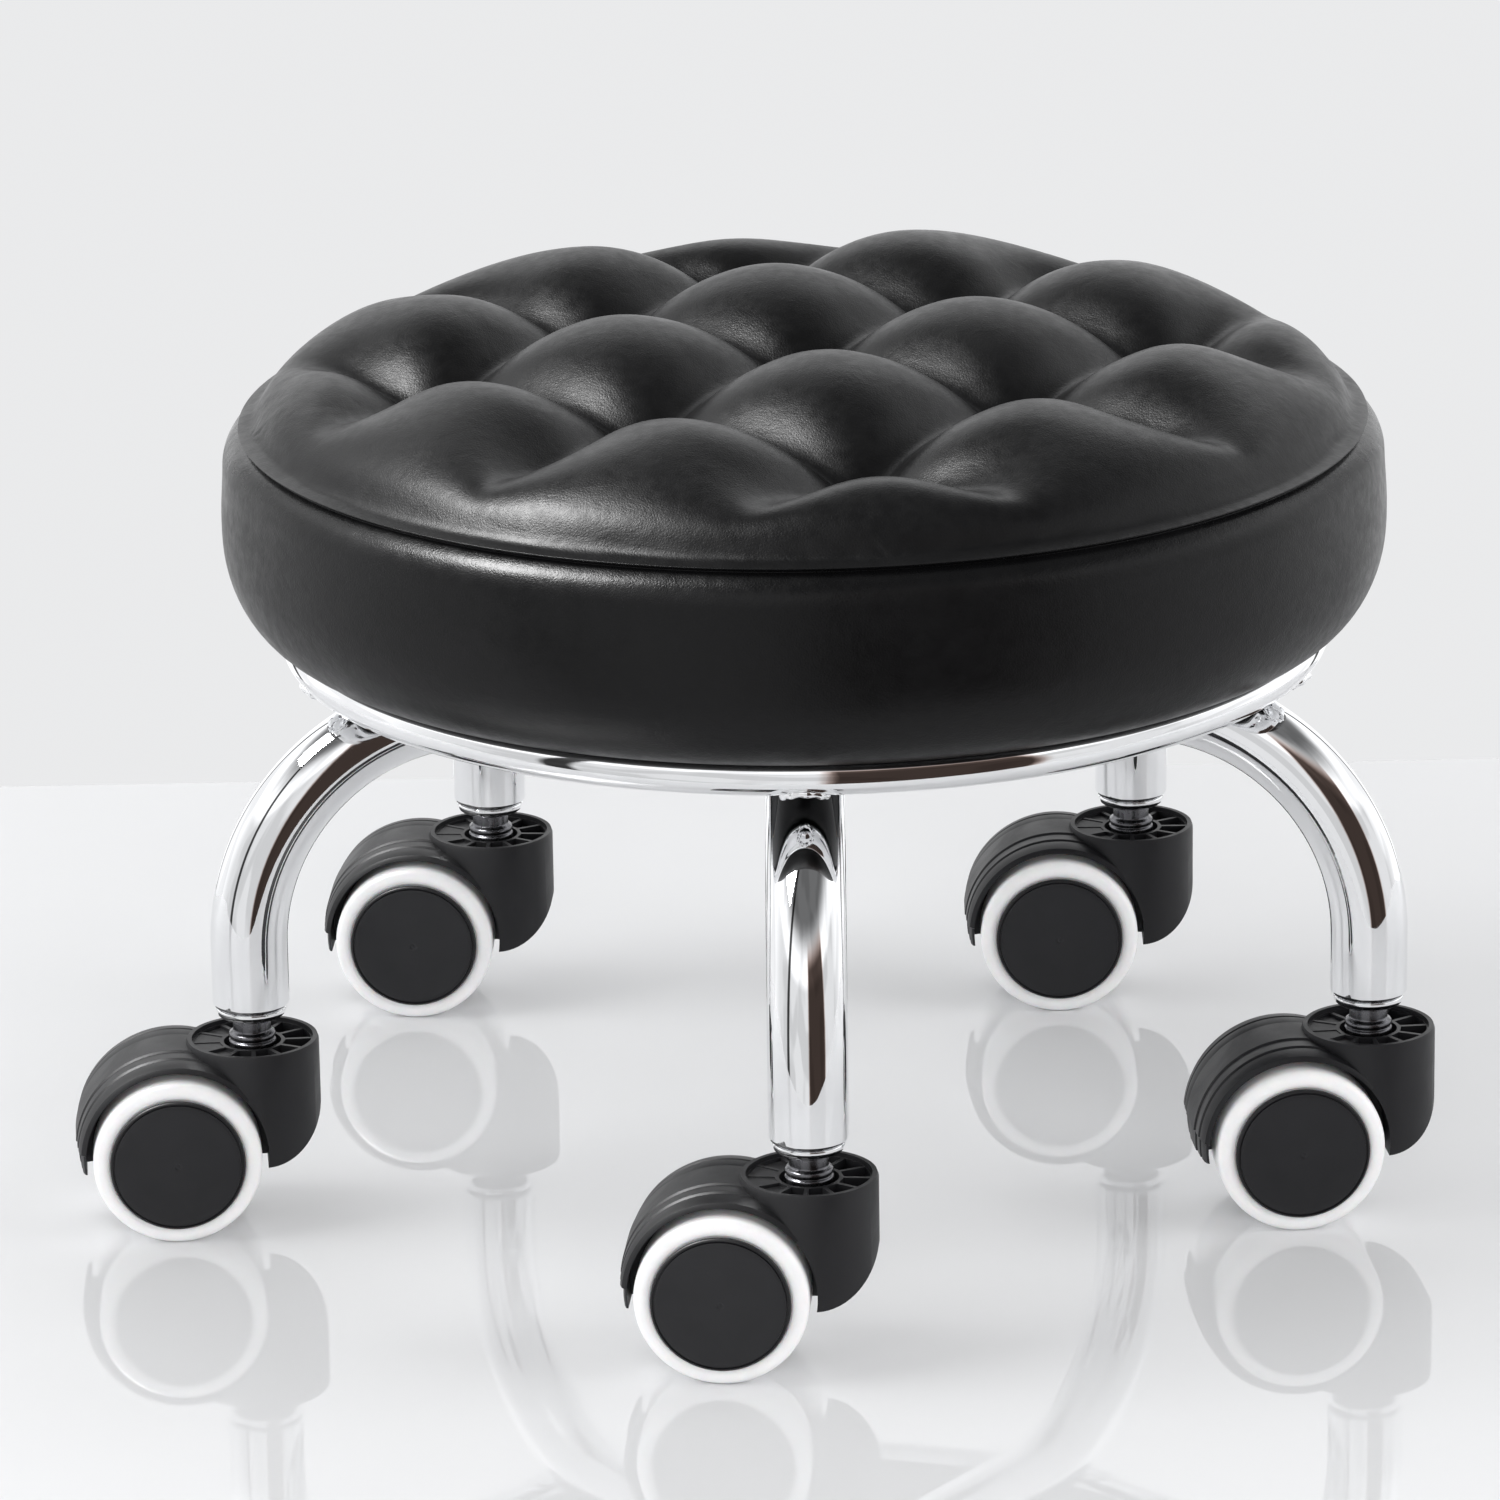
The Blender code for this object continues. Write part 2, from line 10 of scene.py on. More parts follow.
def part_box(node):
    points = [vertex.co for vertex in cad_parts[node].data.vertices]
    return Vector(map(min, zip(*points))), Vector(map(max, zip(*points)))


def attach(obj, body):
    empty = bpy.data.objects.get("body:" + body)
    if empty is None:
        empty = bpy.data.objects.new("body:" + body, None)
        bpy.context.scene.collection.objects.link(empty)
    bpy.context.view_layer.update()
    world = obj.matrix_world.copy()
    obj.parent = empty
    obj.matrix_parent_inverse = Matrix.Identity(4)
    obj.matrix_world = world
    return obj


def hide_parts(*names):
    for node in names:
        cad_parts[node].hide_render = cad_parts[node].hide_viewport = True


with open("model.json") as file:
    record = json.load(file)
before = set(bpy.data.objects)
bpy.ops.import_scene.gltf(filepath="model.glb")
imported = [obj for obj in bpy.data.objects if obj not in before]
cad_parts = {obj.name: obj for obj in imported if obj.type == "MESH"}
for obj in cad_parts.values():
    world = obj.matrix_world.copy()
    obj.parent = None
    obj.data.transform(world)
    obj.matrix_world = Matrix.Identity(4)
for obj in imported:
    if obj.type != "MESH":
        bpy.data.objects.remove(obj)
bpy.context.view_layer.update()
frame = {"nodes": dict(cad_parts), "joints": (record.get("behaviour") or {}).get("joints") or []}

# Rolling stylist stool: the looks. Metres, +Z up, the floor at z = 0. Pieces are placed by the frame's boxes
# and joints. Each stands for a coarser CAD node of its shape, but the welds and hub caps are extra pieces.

STOOL = "stool_frame"
PLACES = ("front", "right", "back_right", "back_left", "left")
GAP = 0.0003


def middle_of(node):
    low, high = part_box(node)
    return (low + high) / 2


def joint_point(name):
    return Vector(next(joint["pos_m"] for joint in frame["joints"] if joint["name"] == name))


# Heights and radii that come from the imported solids.
HUB_LOW, HUB_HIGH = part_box("centre_hub")
AXIS = Vector((middle_of("centre_hub").x, middle_of("centre_hub").y, 0))
HUB_RADIUS = (HUB_HIGH.y - HUB_LOW.y) / 2
HUB_Z = HUB_LOW.z
TUBE_TOP_Z = HUB_HIGH.z
TUBE_RADIUS = (TUBE_TOP_Z - HUB_Z) / 2
RUN_Z = TUBE_TOP_Z - TUBE_RADIUS
TUBE_FOOT_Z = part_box("leg_front")[0].z
FEET = {place: joint_point(f"swivel_{place}").xy for place in PLACES}
LEG_CIRCLE_RADIUS = (FEET["front"] - AXIS.xy).length
BOARD_LOW, BOARD_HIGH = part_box("seat_board")
BOARD_RADIUS = (BOARD_HIGH.x - BOARD_LOW.x) / 2
BOARD_Z = BOARD_LOW.z
BOARD_TOP_Z = BOARD_HIGH.z
PLATE_LOW, PLATE_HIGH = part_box("mounting_plate")
PLATE_RADIUS = (PLATE_HIGH.x - PLATE_LOW.x) / 2
HEM_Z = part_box("seat_cover")[0].z
WHEEL_RADIUS = joint_point("roll_front_a").z
TRAIL = (joint_point("roll_front_a") - joint_point("swivel_front")).xy.length

# The base.
TUBE_WALL = 0.002
TUBE_LIP = 0.0011  # rounding of the tube's cut end
BEND_START_Z = 0.0815
BEND_RADIUS = RUN_Z - BEND_START_Z
TUBE_SIDES = 64
RING_RADIUS = 0.145
RING_TUBE_RADIUS = 0.0055
RING_Z = middle_of("seat_ring").z
HUB_BORE_RADIUS = 0.0045
WELD_HALF_SIZES = (0.0038, 0.0058)  # along the leg and across it
WELD_THICKNESS = 0.0011
SCREW_COUNT = 5
FIRST_SCREW_ANGLE = math.radians(-54)
SCREW_CIRCLE_RADIUS = 0.042
SCREW_RADIUS = 0.0022
SCREW_HEAD_RADIUS = 0.0041
SCREW_PITCH = 0.0009
SCREW_TURNS = 9

# The caster, in its own frame: the swivel axis is Z and the wheels trail towards +X.
AXLE_Z = WHEEL_RADIUS
AXLE_RADIUS = 0.003
AXLE_HALF_LENGTH = 1.002 * (middle_of("caster_axle_front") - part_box("caster_axle_front")[0]).y
WEB_HALF_WIDTH = 0.0066
HOOD_HALF_WIDTH = 0.0195
HOOD_RADIUS = 0.0288
POCKET_RADIUS = 0.026
BARREL_RADIUS = 0.019
BARREL_TOP_Z = 0.0536
BARREL_FOOT_Z = 0.0202
BARREL_CORNER = (-0.003, 0.035)  # centre of the rounding under the barrel's far side
SOCKET_RADIUS = 0.0173
SOCKET_FLOOR_Z = 0.0440
SOCKET_BOSS_RADIUS = 0.0094
SOCKET_BOSS_Z = 0.0497
COLLAR_RECESS_RADIUS = 0.0082
CUT_TOP_Z = 0.06  # cutters end above the barrel and beside the shell
CUT_REACH = 0.03
RIB_TOP_Z = 0.0524
RIB_COUNT = 12
RIB_THICKNESS = 0.0012
SHELL_ANGLES = (-9.0, 141.0)  # from the shell's tip to inside the barrel, about the axle
SHELL_TIP_END = 4.0
SHELL_TIP_INSET = 0.0016
WEB_HUB_RADIUS = 0.009
WEB_CORNER = (0.004, 0.0215)
WEB_END = (0.0145, 0.045)
CORE_RADIUS = 0.0185
CORE_INNER = 0.0072
CORE_WEB = 0.0084
CAP_RADIUS = 0.0192
CAP_BACK = 0.0230
CAP_FACE = 0.0250
CAP_RIM_WIDTH = 0.0018
TYRE_SIDES = (0.0080, 0.0232)
FLANGE_RADIUS = 0.0100
FLANGE_Z = 0.0600
STEM_RADIUS = 0.0045
STEM_NECK_RADIUS = 0.0054
STEM_COLLAR_RADIUS = 0.0068
STEM_TIP_Z = 0.0273
SLEEVE_BORE_RADIUS = 0.0057
SLEEVE_TOP_Z = 0.0815

# The seat's side, from the widest height down to the ring, is a quarter of an ellipse.
SEAT_RADIUS = 0.1665
SEAT_WIDEST_Z = 0.1924
SIDE_ROUNDING_RADIUS = 0.0204
SIDE_ROUNDING_HEIGHT = 0.0289
SIDE_STRAIGHT_Z = 0.1985
HEM_INNER_RADIUS = 0.1128
EDGE_RADIUS = 0.010  # the rolled edge under the seam
EDGE_INSET = 0.0053
EDGE_DROP = 0.0108

# The seat's top: a square lattice of pillows about the seat's axis, turned against the legs, on a low dome
# that flares out above the seam.
TUFT_PITCH = 0.074
TUFT_TURN = math.radians(-36)
PILLOWS_ACROSS = 4
INNER_CELLS = 3
CELL_STEPS = 20
RIM_ROWS = 16
SEAM_RADIUS = 0.1610
SEAM_Z = 0.2225
CREST_Z = 0.2543
CROWN = 0.0033
SHOULDER_RADIUS = 0.092
DOME_REACH = 0.064
FLARE_SLOPE = 0.60
FLARE_HEIGHT = 0.0060
FLARE_SOFTNESS = 0.0025
PILLOW_FULLNESS = 0.96
SADDLE_DEPTH = 0.0160
TUFT_EXTRA_DEPTH = -0.0010
FADE_START = 0.117
FADE_END = 0.157
LAST_CREST = PILLOWS_ACROSS / 2 - 0.5  # in pitches from the axis; there are no tuft lines beyond it
HELD_BELOW_SEAM = 0.004
HELD_AT_TUFT = 0.06  # in pitches, as is the next
HELD_AT_LINE = 0.02
LINE_GRIP = 0.75
RIM_ROW_POWER = 1.8  # above 1, the rows between the lattice and the rim crowd towards the rim


# ---- meshes ----


def new_object(name, mesh):
    obj = bpy.data.objects.new(name, mesh)
    bpy.context.scene.collection.objects.link(obj)
    return obj


def finished_mesh(name, bm, sharp_degrees=35):
    bmesh.ops.recalc_face_normals(bm, faces=bm.faces)
    mesh = bpy.data.meshes.new(name)
    bm.to_mesh(mesh)
    bm.free()
    mesh.shade_smooth()
    mesh.set_sharp_from_angle(angle=math.radians(sharp_degrees))
    return mesh


def bridge(bm, first, second):
    """Joins two closed loops of equally many vertices."""
    for index in range(len(first)):
        after = (index + 1) % len(first)
        bm.faces.new((first[index], first[after], second[after], second[index]))


def polar(radius, angle, height=0.0):
    return Vector((radius * math.cos(angle), radius * math.sin(angle), height))


def arc(center, radius, first, last, steps):
    """Points of an arc in (across, up) coordinates, with both ends. Angles are in degrees."""
    angles = [math.radians(first + (last - first) * step / steps) for step in range(steps + 1)]
    return [(center[0] + radius * math.cos(a), center[1] + radius * math.sin(a)) for a in angles]


def rounded(outline, radius, steps=4, keep=()):
    """Rounds each corner of a closed outline, except those on the axis and those whose index is in keep."""
    points = [Vector(point) for point in outline]
    result = []
    for index, point in enumerate(points):
        before = points[index - 1] - point
        after = points[(index + 1) % len(points)] - point
        if index in keep or point.x == 0:
            result.append(tuple(point))
            continue
        reach = min(radius, before.length * 0.45, after.length * 0.45)
        start = point + before.normalized() * reach
        end = point + after.normalized() * reach
        for step in range(steps + 1):
            t = step / steps
            result.append(tuple(start * (1 - t) ** 2 + point * 2 * t * (1 - t) + end * t**2))
    return result


def turned(name, outline, segments, axis="Z", sharp_degrees=35):
    """Turns a closed outline of (radius, height) points about an axis, which the outline may touch."""
    bm = bmesh.new()
    rings = []
    for radius, height in outline:
        if radius == 0:
            rings.append([bm.verts.new((0, 0, height))])
        else:
            ring = [polar(radius, 2 * math.pi * index / segments, height) for index in range(segments)]
            rings.append([bm.verts.new(point) for point in ring])
    for low, high in zip(rings, rings[1:] + rings[:1]):
        if len(low) == len(high) == 1:
            continue
        for index in range(segments):
            after = (index + 1) % segments
            corners = [low[index % len(low)], low[after % len(low)]]
            corners += [high[after % len(high)], high[index % len(high)]]
            bm.faces.new(list(dict.fromkeys(corners)))
    if axis == "Y":
        bmesh.ops.rotate(bm, verts=bm.verts, matrix=Matrix.Rotation(math.radians(-90), 3, "X"))
    return finished_mesh(name, bm, sharp_degrees)


def swept(name, stations, sides):
    """A tube through a closed row of (centre, direction, radius) stations in the XZ plane."""
    bm = bmesh.new()
    loops = []
    side = Vector((0, 1, 0))
    for center, along, radius in stations:
        across = side.cross(along)
        loop = []
        for index in range(sides):
            angle = 2 * math.pi * index / sides
            loop.append(bm.verts.new(center + (across * math.cos(angle) + side * math.sin(angle)) * radius))
        loops.append(loop)
    for low, high in zip(loops, loops[1:] + loops[:1]):
        bridge(bm, low, high)
    return finished_mesh(name, bm)


def prism(name, outline, half_width):
    """Extrudes an (x, z) outline to both sides of the XZ plane."""
    bm = bmesh.new()
    face = bm.faces.new([bm.verts.new((x, -half_width, z)) for x, z in outline])
    grown = bmesh.ops.extrude_face_region(bm, geom=[face])["geom"]
    side = [vert for vert in grown if isinstance(vert, bmesh.types.BMVert)]
    bmesh.ops.translate(bm, verts=side, vec=(0, 2 * half_width, 0))
    return finished_mesh(name, bm)


def cylinder(radius, low, high):
    return [(0, low), (radius, low), (radius, high), (0, high)]


def moved(mesh, offset):
    mesh.transform(Matrix.Translation(offset))
    return mesh


def combined(name, base, steps, bevel=0.0, sharp_degrees=35):
    """The mesh that is left after each (operation, mesh) Boolean step in order, with its edges eased."""
    body = new_object(name, base)
    tools = []
    for operation, mesh in steps:
        tool = new_object(mesh.name, mesh)
        tools.append(tool)
        cut = body.modifiers.new(mesh.name, "BOOLEAN")
        cut.solver = "EXACT"
        cut.operation = operation
        cut.object = tool
    if bevel:
        ease = body.modifiers.new("eased_edges", "BEVEL")
        ease.width = bevel
        ease.segments = 2
        ease.limit_method = "ANGLE"
        ease.angle_limit = math.radians(40)
    mesh = evaluated_mesh(body, name)
    for obj in [body, *tools]:
        bpy.data.objects.remove(obj, do_unlink=True)
    mesh.shade_smooth()
    mesh.set_sharp_from_angle(angle=math.radians(sharp_degrees))
    return mesh


def evaluated_mesh(obj, name):
    graph = bpy.context.evaluated_depsgraph_get()
    mesh = bpy.data.meshes.new_from_object(obj.evaluated_get(graph))
    mesh.name = name
    return mesh


def add_piece(name, mesh, material, body, nodes, location=(0, 0, 0), yaw=0.0):
    """Places a mesh with its material, ties it to its body and hides the nodes that it stands for."""
    obj = new_object(name, mesh)
    obj.location = location
    obj.rotation_euler.z = yaw
    if not mesh.materials:
        mesh.materials.append(material)
    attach(obj, body)
    if nodes:
        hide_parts(*nodes)
    return obj


# ---- materials ----


def add_node(tree, kind, inputs=None, **properties):
    """Adds a shader node. An input that is given as a socket is linked, any other is set."""
    made = tree.nodes.new("ShaderNode" + kind)
    for key, value in properties.items():
        setattr(made, key, value)
    for key, value in (inputs or {}).items():
        if isinstance(value, bpy.types.NodeSocket):
            tree.links.new(value, made.inputs[key])
        else:
            made.inputs[key].default_value = value
    return made


class Nodes:
    """A material's node tree, built line by line."""

    def __init__(self, name):
        self.material = bpy.data.materials.new(name)
        self.material.use_nodes = True
        self.tree = self.material.node_tree
        self.shader = self.tree.nodes["Principled BSDF"]
        coordinates = self.tree.nodes.new("ShaderNodeTexCoord")
        self.object_space = coordinates.outputs["Object"]

    def set(self, **values):
        for key, value in values.items():
            self.shader.inputs[key.replace("_", " ")].default_value = value
        return self

    def node(self, kind, inputs=None, **properties):
        return add_node(self.tree, kind, inputs, **properties)

    def scaled(self, scale):
        """Object coordinates, stretched by a scale for each axis."""
        return self.node("Mapping", {"Vector": self.object_space, "Scale": scale}).outputs["Vector"]

    def noise(self, scale, detail=3.0, roughness=0.5, distortion=0.0, vector=None):
        inputs = {
            "Vector": vector or self.object_space,
            "Scale": scale,
            "Detail": detail,
            "Roughness": roughness,
            "Distortion": distortion,
        }
        return self.node("TexNoise", inputs).outputs["Fac"]

    def ramp(self, value, low, high, from_low=0.3, from_high=0.7):
        """A number that goes from low to high as value goes from from_low to from_high."""
        inputs = {"Value": value, 1: from_low, 2: from_high, 3: low, 4: high}
        return self.node("MapRange", inputs, interpolation_type="SMOOTHSTEP").outputs["Result"]

    def colors(self, value, stops):
        made = self.node("ValToRGB", {"Fac": value})
        ramp = made.color_ramp
        while len(ramp.elements) < len(stops):
            ramp.elements.new(0.5)
        for element, (position, color) in zip(ramp.elements, stops):
            element.position = position
            element.color = (*color, 1.0)
        return made.outputs["Color"]

    def math(self, operation, first, second=0.0):
        return self.node("Math", {0: first, 1: second}, operation=operation).outputs["Value"]

    def link(self, output, name):
        self.tree.links.new(output, self.shader.inputs[name])
        return self

    def bump(self, layers):
        """Stacks (height, strength, distance) bumps, coarse first."""
        normal = None
        for height, strength, distance in layers:
            inputs = {"Height": height, "Strength": strength, "Distance": distance}
            if normal:
                inputs["Normal"] = normal
            normal = self.node("Bump", inputs).outputs["Normal"]
        return self.link(normal, "Normal")


def faux_leather():
    """Black PVC leather: pebble grain and small creases, smoother where it is stretched under the seam."""
    nodes = Nodes("black_faux_leather")
    patches = nodes.noise(22.0, 4.0, 0.6)
    mottle = nodes.noise(240.0, 4.0, 0.65)
    color = nodes.colors(patches, [(0.3, (0.0030, 0.0030, 0.0033)), (0.7, (0.0055, 0.0055, 0.0060))])
    height = nodes.node("SeparateXYZ", {0: nodes.object_space}).outputs["Z"]
    under_seam = nodes.ramp(height, 0.0, 0.10, SEAM_Z - 0.010, SEAM_Z - 0.004)
    on_top = nodes.ramp(height, 0.0, 0.10, SEAM_Z - 0.001, SEAM_Z + 0.001)
    worn = nodes.math("ADD", nodes.ramp(patches, 0.33, 0.41), nodes.ramp(mottle, -0.03, 0.05))
    roughness = nodes.math("ADD", nodes.math("SUBTRACT", worn, under_seam), on_top)
    cells = nodes.node(
        "TexVoronoi",
        {"Vector": nodes.object_space, "Scale": 1150.0, "Randomness": 1.0},
        feature="DISTANCE_TO_EDGE",
    ).outputs["Distance"]
    pebbles = nodes.ramp(cells, 0.0, 1.0, 0.0, 0.35)
    wrinkles = nodes.noise(130.0, 5.0, 0.6, 0.6, nodes.scaled((1.0, 1.0, 1.6)))
    nodes.set(IOR=1.5, Specular_IOR_Level=0.20)
    nodes.link(color, "Base Color").link(roughness, "Roughness")
    nodes.bump([(wrinkles, 0.22, 0.0006), (mottle, 0.20, 0.0003), (pebbles, 0.16, 0.00012)])
    return nodes.material


def chrome():
    """Bright chrome plate with the faintest orange peel and a few wiped smudges."""
    nodes = Nodes("chrome")
    smudges = nodes.noise(35.0, 5.0, 0.65, 0.8, nodes.scaled((1.0, 1.0, 0.45)))
    tint = nodes.colors(smudges, [(0.35, (0.86, 0.865, 0.875)), (0.75, (0.80, 0.805, 0.815))])
    nodes.set(Metallic=1.0)
    nodes.link(tint, "Base Color")
    nodes.link(nodes.ramp(smudges, 0.025, 0.085, 0.45, 0.80), "Roughness")
    peel = nodes.noise(190.0, 2.0, 0.5)
    nodes.bump([(peel, 0.05, 0.0002)])
    return nodes.material


def zinc_plate(name, dark, light):
    """Zinc plate: a cloudy grey with fine lathe marks, duller where it is oiled."""
    nodes = Nodes(name)
    clouds = nodes.noise(160.0, 4.0, 0.6)
    color = nodes.colors(clouds, [(0.3, dark), (0.7, light)])
    marks = nodes.noise(900.0, 2.0, 0.5, 0.0, nodes.scaled((0.05, 0.05, 1.0)))
    nodes.set(Metallic=1.0)
    nodes.link(color, "Base Color")
    nodes.link(nodes.ramp(clouds, 0.20, 0.36), "Roughness")
    nodes.bump([(marks, 0.12, 0.0001)])
    return nodes.material


def black_nylon(name, low_roughness, high_roughness, tone=1.0, grain=1.0):
    """Moulded black nylon: a fine spark-eroded texture, slightly cloudy where the melt flowed."""
    nodes = Nodes(name)
    flow = nodes.noise(55.0, 4.0, 0.6, 0.5)
    low = tuple(tone * value for value in (0.0080, 0.0080, 0.0092))
    high = tuple(tone * value for value in (0.0125, 0.0125, 0.0142))
    nodes.set(Specular_IOR_Level=0.36)
    nodes.link(nodes.colors(flow, [(0.3, low), (0.7, high)]), "Base Color")
    nodes.link(nodes.ramp(flow, low_roughness, high_roughness), "Roughness")
    sparks = nodes.noise(2600.0, 3.0, 0.7)
    waves = nodes.noise(300.0, 2.0, 0.5)
    nodes.bump([(waves, 0.10 * grain, 0.0002), (sparks, 0.30 * grain, 0.00008)])
    return nodes.material


def white_polyurethane():
    """Cast white tread: nearly smooth, with faint scuffs and a little light let into it."""
    nodes = Nodes("white_polyurethane")
    scuffs = nodes.noise(90.0, 5.0, 0.7, 0.4)
    color = nodes.colors(scuffs, [(0.30, (0.87, 0.87, 0.875)), (0.62, (0.93, 0.93, 0.935))])
    nodes.set(Subsurface_Weight=0.12, Subsurface_Scale=0.002)
    nodes.link(color, "Base Color")
    nodes.link(nodes.ramp(scuffs, 0.40, 0.28), "Roughness")
    fine = nodes.noise(1400.0, 2.0, 0.5)
    nodes.bump([(fine, 0.05, 0.0001)])
    return nodes.material


def plywood():
    """Birch plywood: long grain on the faces and dark glue lines between the plies at the edge."""
    nodes = Nodes("plywood")
    grain = nodes.noise(160.0, 5.0, 0.65, 0.5, nodes.scaled((0.06, 1.0, 1.0)))
    plies = nodes.node(
        "TexWave",
        {"Vector": nodes.object_space, "Scale": 130.0, "Distortion": 0.4, "Detail": 2.0},
        wave_type="BANDS",
        bands_direction="Z",
    ).outputs["Fac"]
    wood = nodes.colors(grain, [(0.30, (0.42, 0.27, 0.14)), (0.70, (0.62, 0.44, 0.26))])
    glue = nodes.colors(plies, [(0.05, (0.45, 0.35, 0.28)), (0.25, (1.0, 1.0, 1.0))])
    mixed = nodes.node("Mix", {0: 1.0, 6: wood, 7: glue}, data_type="RGBA", blend_type="MULTIPLY")
    nodes.link(mixed.outputs[2], "Base Color")
    nodes.link(nodes.ramp(grain, 0.60, 0.80), "Roughness")
    nodes.bump([(grain, 0.35, 0.0003)])
    return nodes.material


def dust_cloth():
    """Spun-bonded black cloth: pressed dimples in rows over tangled fibres."""
    nodes = Nodes("dust_cloth")
    fibres = nodes.noise(1500.0, 4.0, 0.75, 1.5)
    dimples = nodes.node(
        "TexVoronoi",
        {"Vector": nodes.object_space, "Scale": 620.0, "Randomness": 0.0},
        feature="F1",
    ).outputs["Distance"]
    color = nodes.colors(fibres, [(0.3, (0.018, 0.018, 0.019)), (0.7, (0.045, 0.045, 0.047))])
    nodes.link(color, "Base Color")
    nodes.link(nodes.ramp(fibres, 0.85, 1.0), "Roughness")
    nodes.bump([(dimples, 0.5, 0.0003), (fibres, 0.5, 0.0002)])
    return nodes.material


LEATHER = faux_leather()
CHROME = chrome()
ZINC = zinc_plate("zinc_plated_steel", (0.50, 0.51, 0.53), (0.66, 0.67, 0.68))
# The same zinc plate again but much darker: painted shade on the swivel stems, standing in for the dark
# socket and ribs that they reflect.
SHADE_DARKENED_ZINC = zinc_plate("zinc_darkened_for_shade", (0.10, 0.10, 0.11), (0.20, 0.20, 0.21))
NYLON = black_nylon("black_nylon", 0.42, 0.56)
CAP_NYLON = black_nylon("cap_nylon", 0.36, 0.46, tone=1.15, grain=0.6)
TREAD = white_polyurethane()
PLYWOOD = plywood()
CLOTH = dust_cloth()


# ---- cushion ----


def untufted_height(radius):
    """The top's height without tufts: a low crown, a quarter ellipse, and a flare down to the seam."""
    crown_z = CREST_Z - CROWN * min(radius / SHOULDER_RADIUS, 1.0) ** 2
    across = min(max(radius - SHOULDER_RADIUS, 0.0) / DOME_REACH, 1.0)
    dome = (crown_z - SEAM_Z) * math.sqrt(1 - across**2)
    flare = FLARE_HEIGHT * (1 - math.exp(FLARE_SLOPE * (radius - SEAM_RADIUS) / FLARE_HEIGHT))
    return SEAM_Z + (dome + flare + math.hypot(dome - flare, FLARE_SOFTNESS) - FLARE_SOFTNESS) / 2


def smoothstep(value):
    value = min(max(value, 0.0), 1.0)
    return value * value * (3 - 2 * value)


def pillow_share(offset, across_offset):
    """How far down a pillow's round flank a point is: 0 over its middle and 1 on its edge. The crease there
    is soft half-way between two tufts and sharp beside them."""
    softness = 0.03 + 0.15 * (1 - 2 * abs(across_offset))
    inwards = 1 - 2 * abs(offset)
    slack = math.sqrt(inwards**2 + softness**2) - softness
    outwards = 1 - slack / (math.sqrt(1 + softness**2) - softness)
    return (1 - math.sqrt(1 - (PILLOW_FULLNESS * outwards) ** 2)) / (1 - math.sqrt(1 - PILLOW_FULLNESS**2))


def tuft_depth(s, t):
    """How far the tufts pull the top down at lattice coordinates, whose whole numbers are the tuft lines."""
    first, second = (value - math.floor(value) - 0.5 for value in (s, t))
    a = pillow_share(first, second) if abs(s) < LAST_CREST else 0.0
    b = pillow_share(second, first) if abs(t) < LAST_CREST else 0.0
    return SADDLE_DEPTH * (a + b) + TUFT_EXTRA_DEPTH * a * b


def rim_fade(radius):
    """The tufts' lines die out in the smooth band above the seam."""
    return 1 - smoothstep((radius - FADE_START) / (FADE_END - FADE_START))


def top_point(plan):
    """The point of the top over a place (x, y) from the seat's axis."""
    s, t = Matrix.Rotation(-TUFT_TURN, 2) @ plan / TUFT_PITCH
    radius = plan.length
    height = untufted_height(radius) - tuft_depth(s, t) * rim_fade(radius)
    return Vector((plan.x, plan.y, height))


def rim_angle(s):
    """Where on the rim a line ends that leaves the inner square's side at s: straight on, but at 45 degrees
    when it leaves from the square's corner."""
    reach = INNER_CELLS / 2
    straight = math.asin(s / (SEAM_RADIUS / TUFT_PITCH))
    corner_miss = math.radians(45) - math.asin(reach / (SEAM_RADIUS / TUFT_PITCH))
    return straight + math.copysign(corner_miss * smoothstep((abs(s) - 1) / (reach - 1)), s)


def side_profile():
    """(radius, height) of the cushion from the seam down to the hem, then over the board to the axis."""
    profile = [
        (SEAM_RADIUS - 0.0003, SEAM_Z - 0.0004),
        (SEAM_RADIUS - 0.0010, SEAM_Z - 0.0009),
        (SEAM_RADIUS - 0.0018, SEAM_Z - 0.0013),
    ]
    profile += arc((SEAM_RADIUS - EDGE_INSET, SEAM_Z - EDGE_DROP), EDGE_RADIUS, 70, 0, 11)
    profile += [
        (SEAM_RADIUS + 0.0048, SEAM_Z - 0.0140),
        (SEAM_RADIUS + 0.0052, SEAM_Z - 0.0190),
        (SEAT_RADIUS, SIDE_STRAIGHT_Z),
    ]
    for degrees in range(90, 19, -10):
        angle = math.radians(degrees)
        radius = SEAT_RADIUS - SIDE_ROUNDING_RADIUS * (1 - math.sin(angle))
        profile.append((radius, SEAT_WIDEST_Z - SIDE_ROUNDING_HEIGHT * math.cos(angle)))
    profile += arc((RING_RADIUS, RING_Z), RING_TUBE_RADIUS + GAP, 42, 150, 9)
    board_edge = BOARD_RADIUS + GAP
    profile += [
        (0.1388, 0.1603),
        (0.1376, 0.1586),
        (0.1362, HEM_Z),
        (0.1300, HEM_Z),
        (0.1210, HEM_Z),
        (HEM_INNER_RADIUS, HEM_Z),
        (HEM_INNER_RADIUS - 0.0006, HEM_Z + 0.0006),
        (HEM_INNER_RADIUS, BOARD_Z - GAP),
        (0.1210, BOARD_Z - GAP),
        (0.1300, BOARD_Z - GAP),
        (board_edge - 0.0004, BOARD_Z - GAP),
        (board_edge, BOARD_Z),
        (board_edge, BOARD_TOP_Z),
        (board_edge - 0.0004, BOARD_TOP_Z + GAP),
        (0.1000, BOARD_TOP_Z + GAP),
        (0.0500, BOARD_TOP_Z + GAP),
        (0.0, BOARD_TOP_Z + GAP),
    ]
    return profile


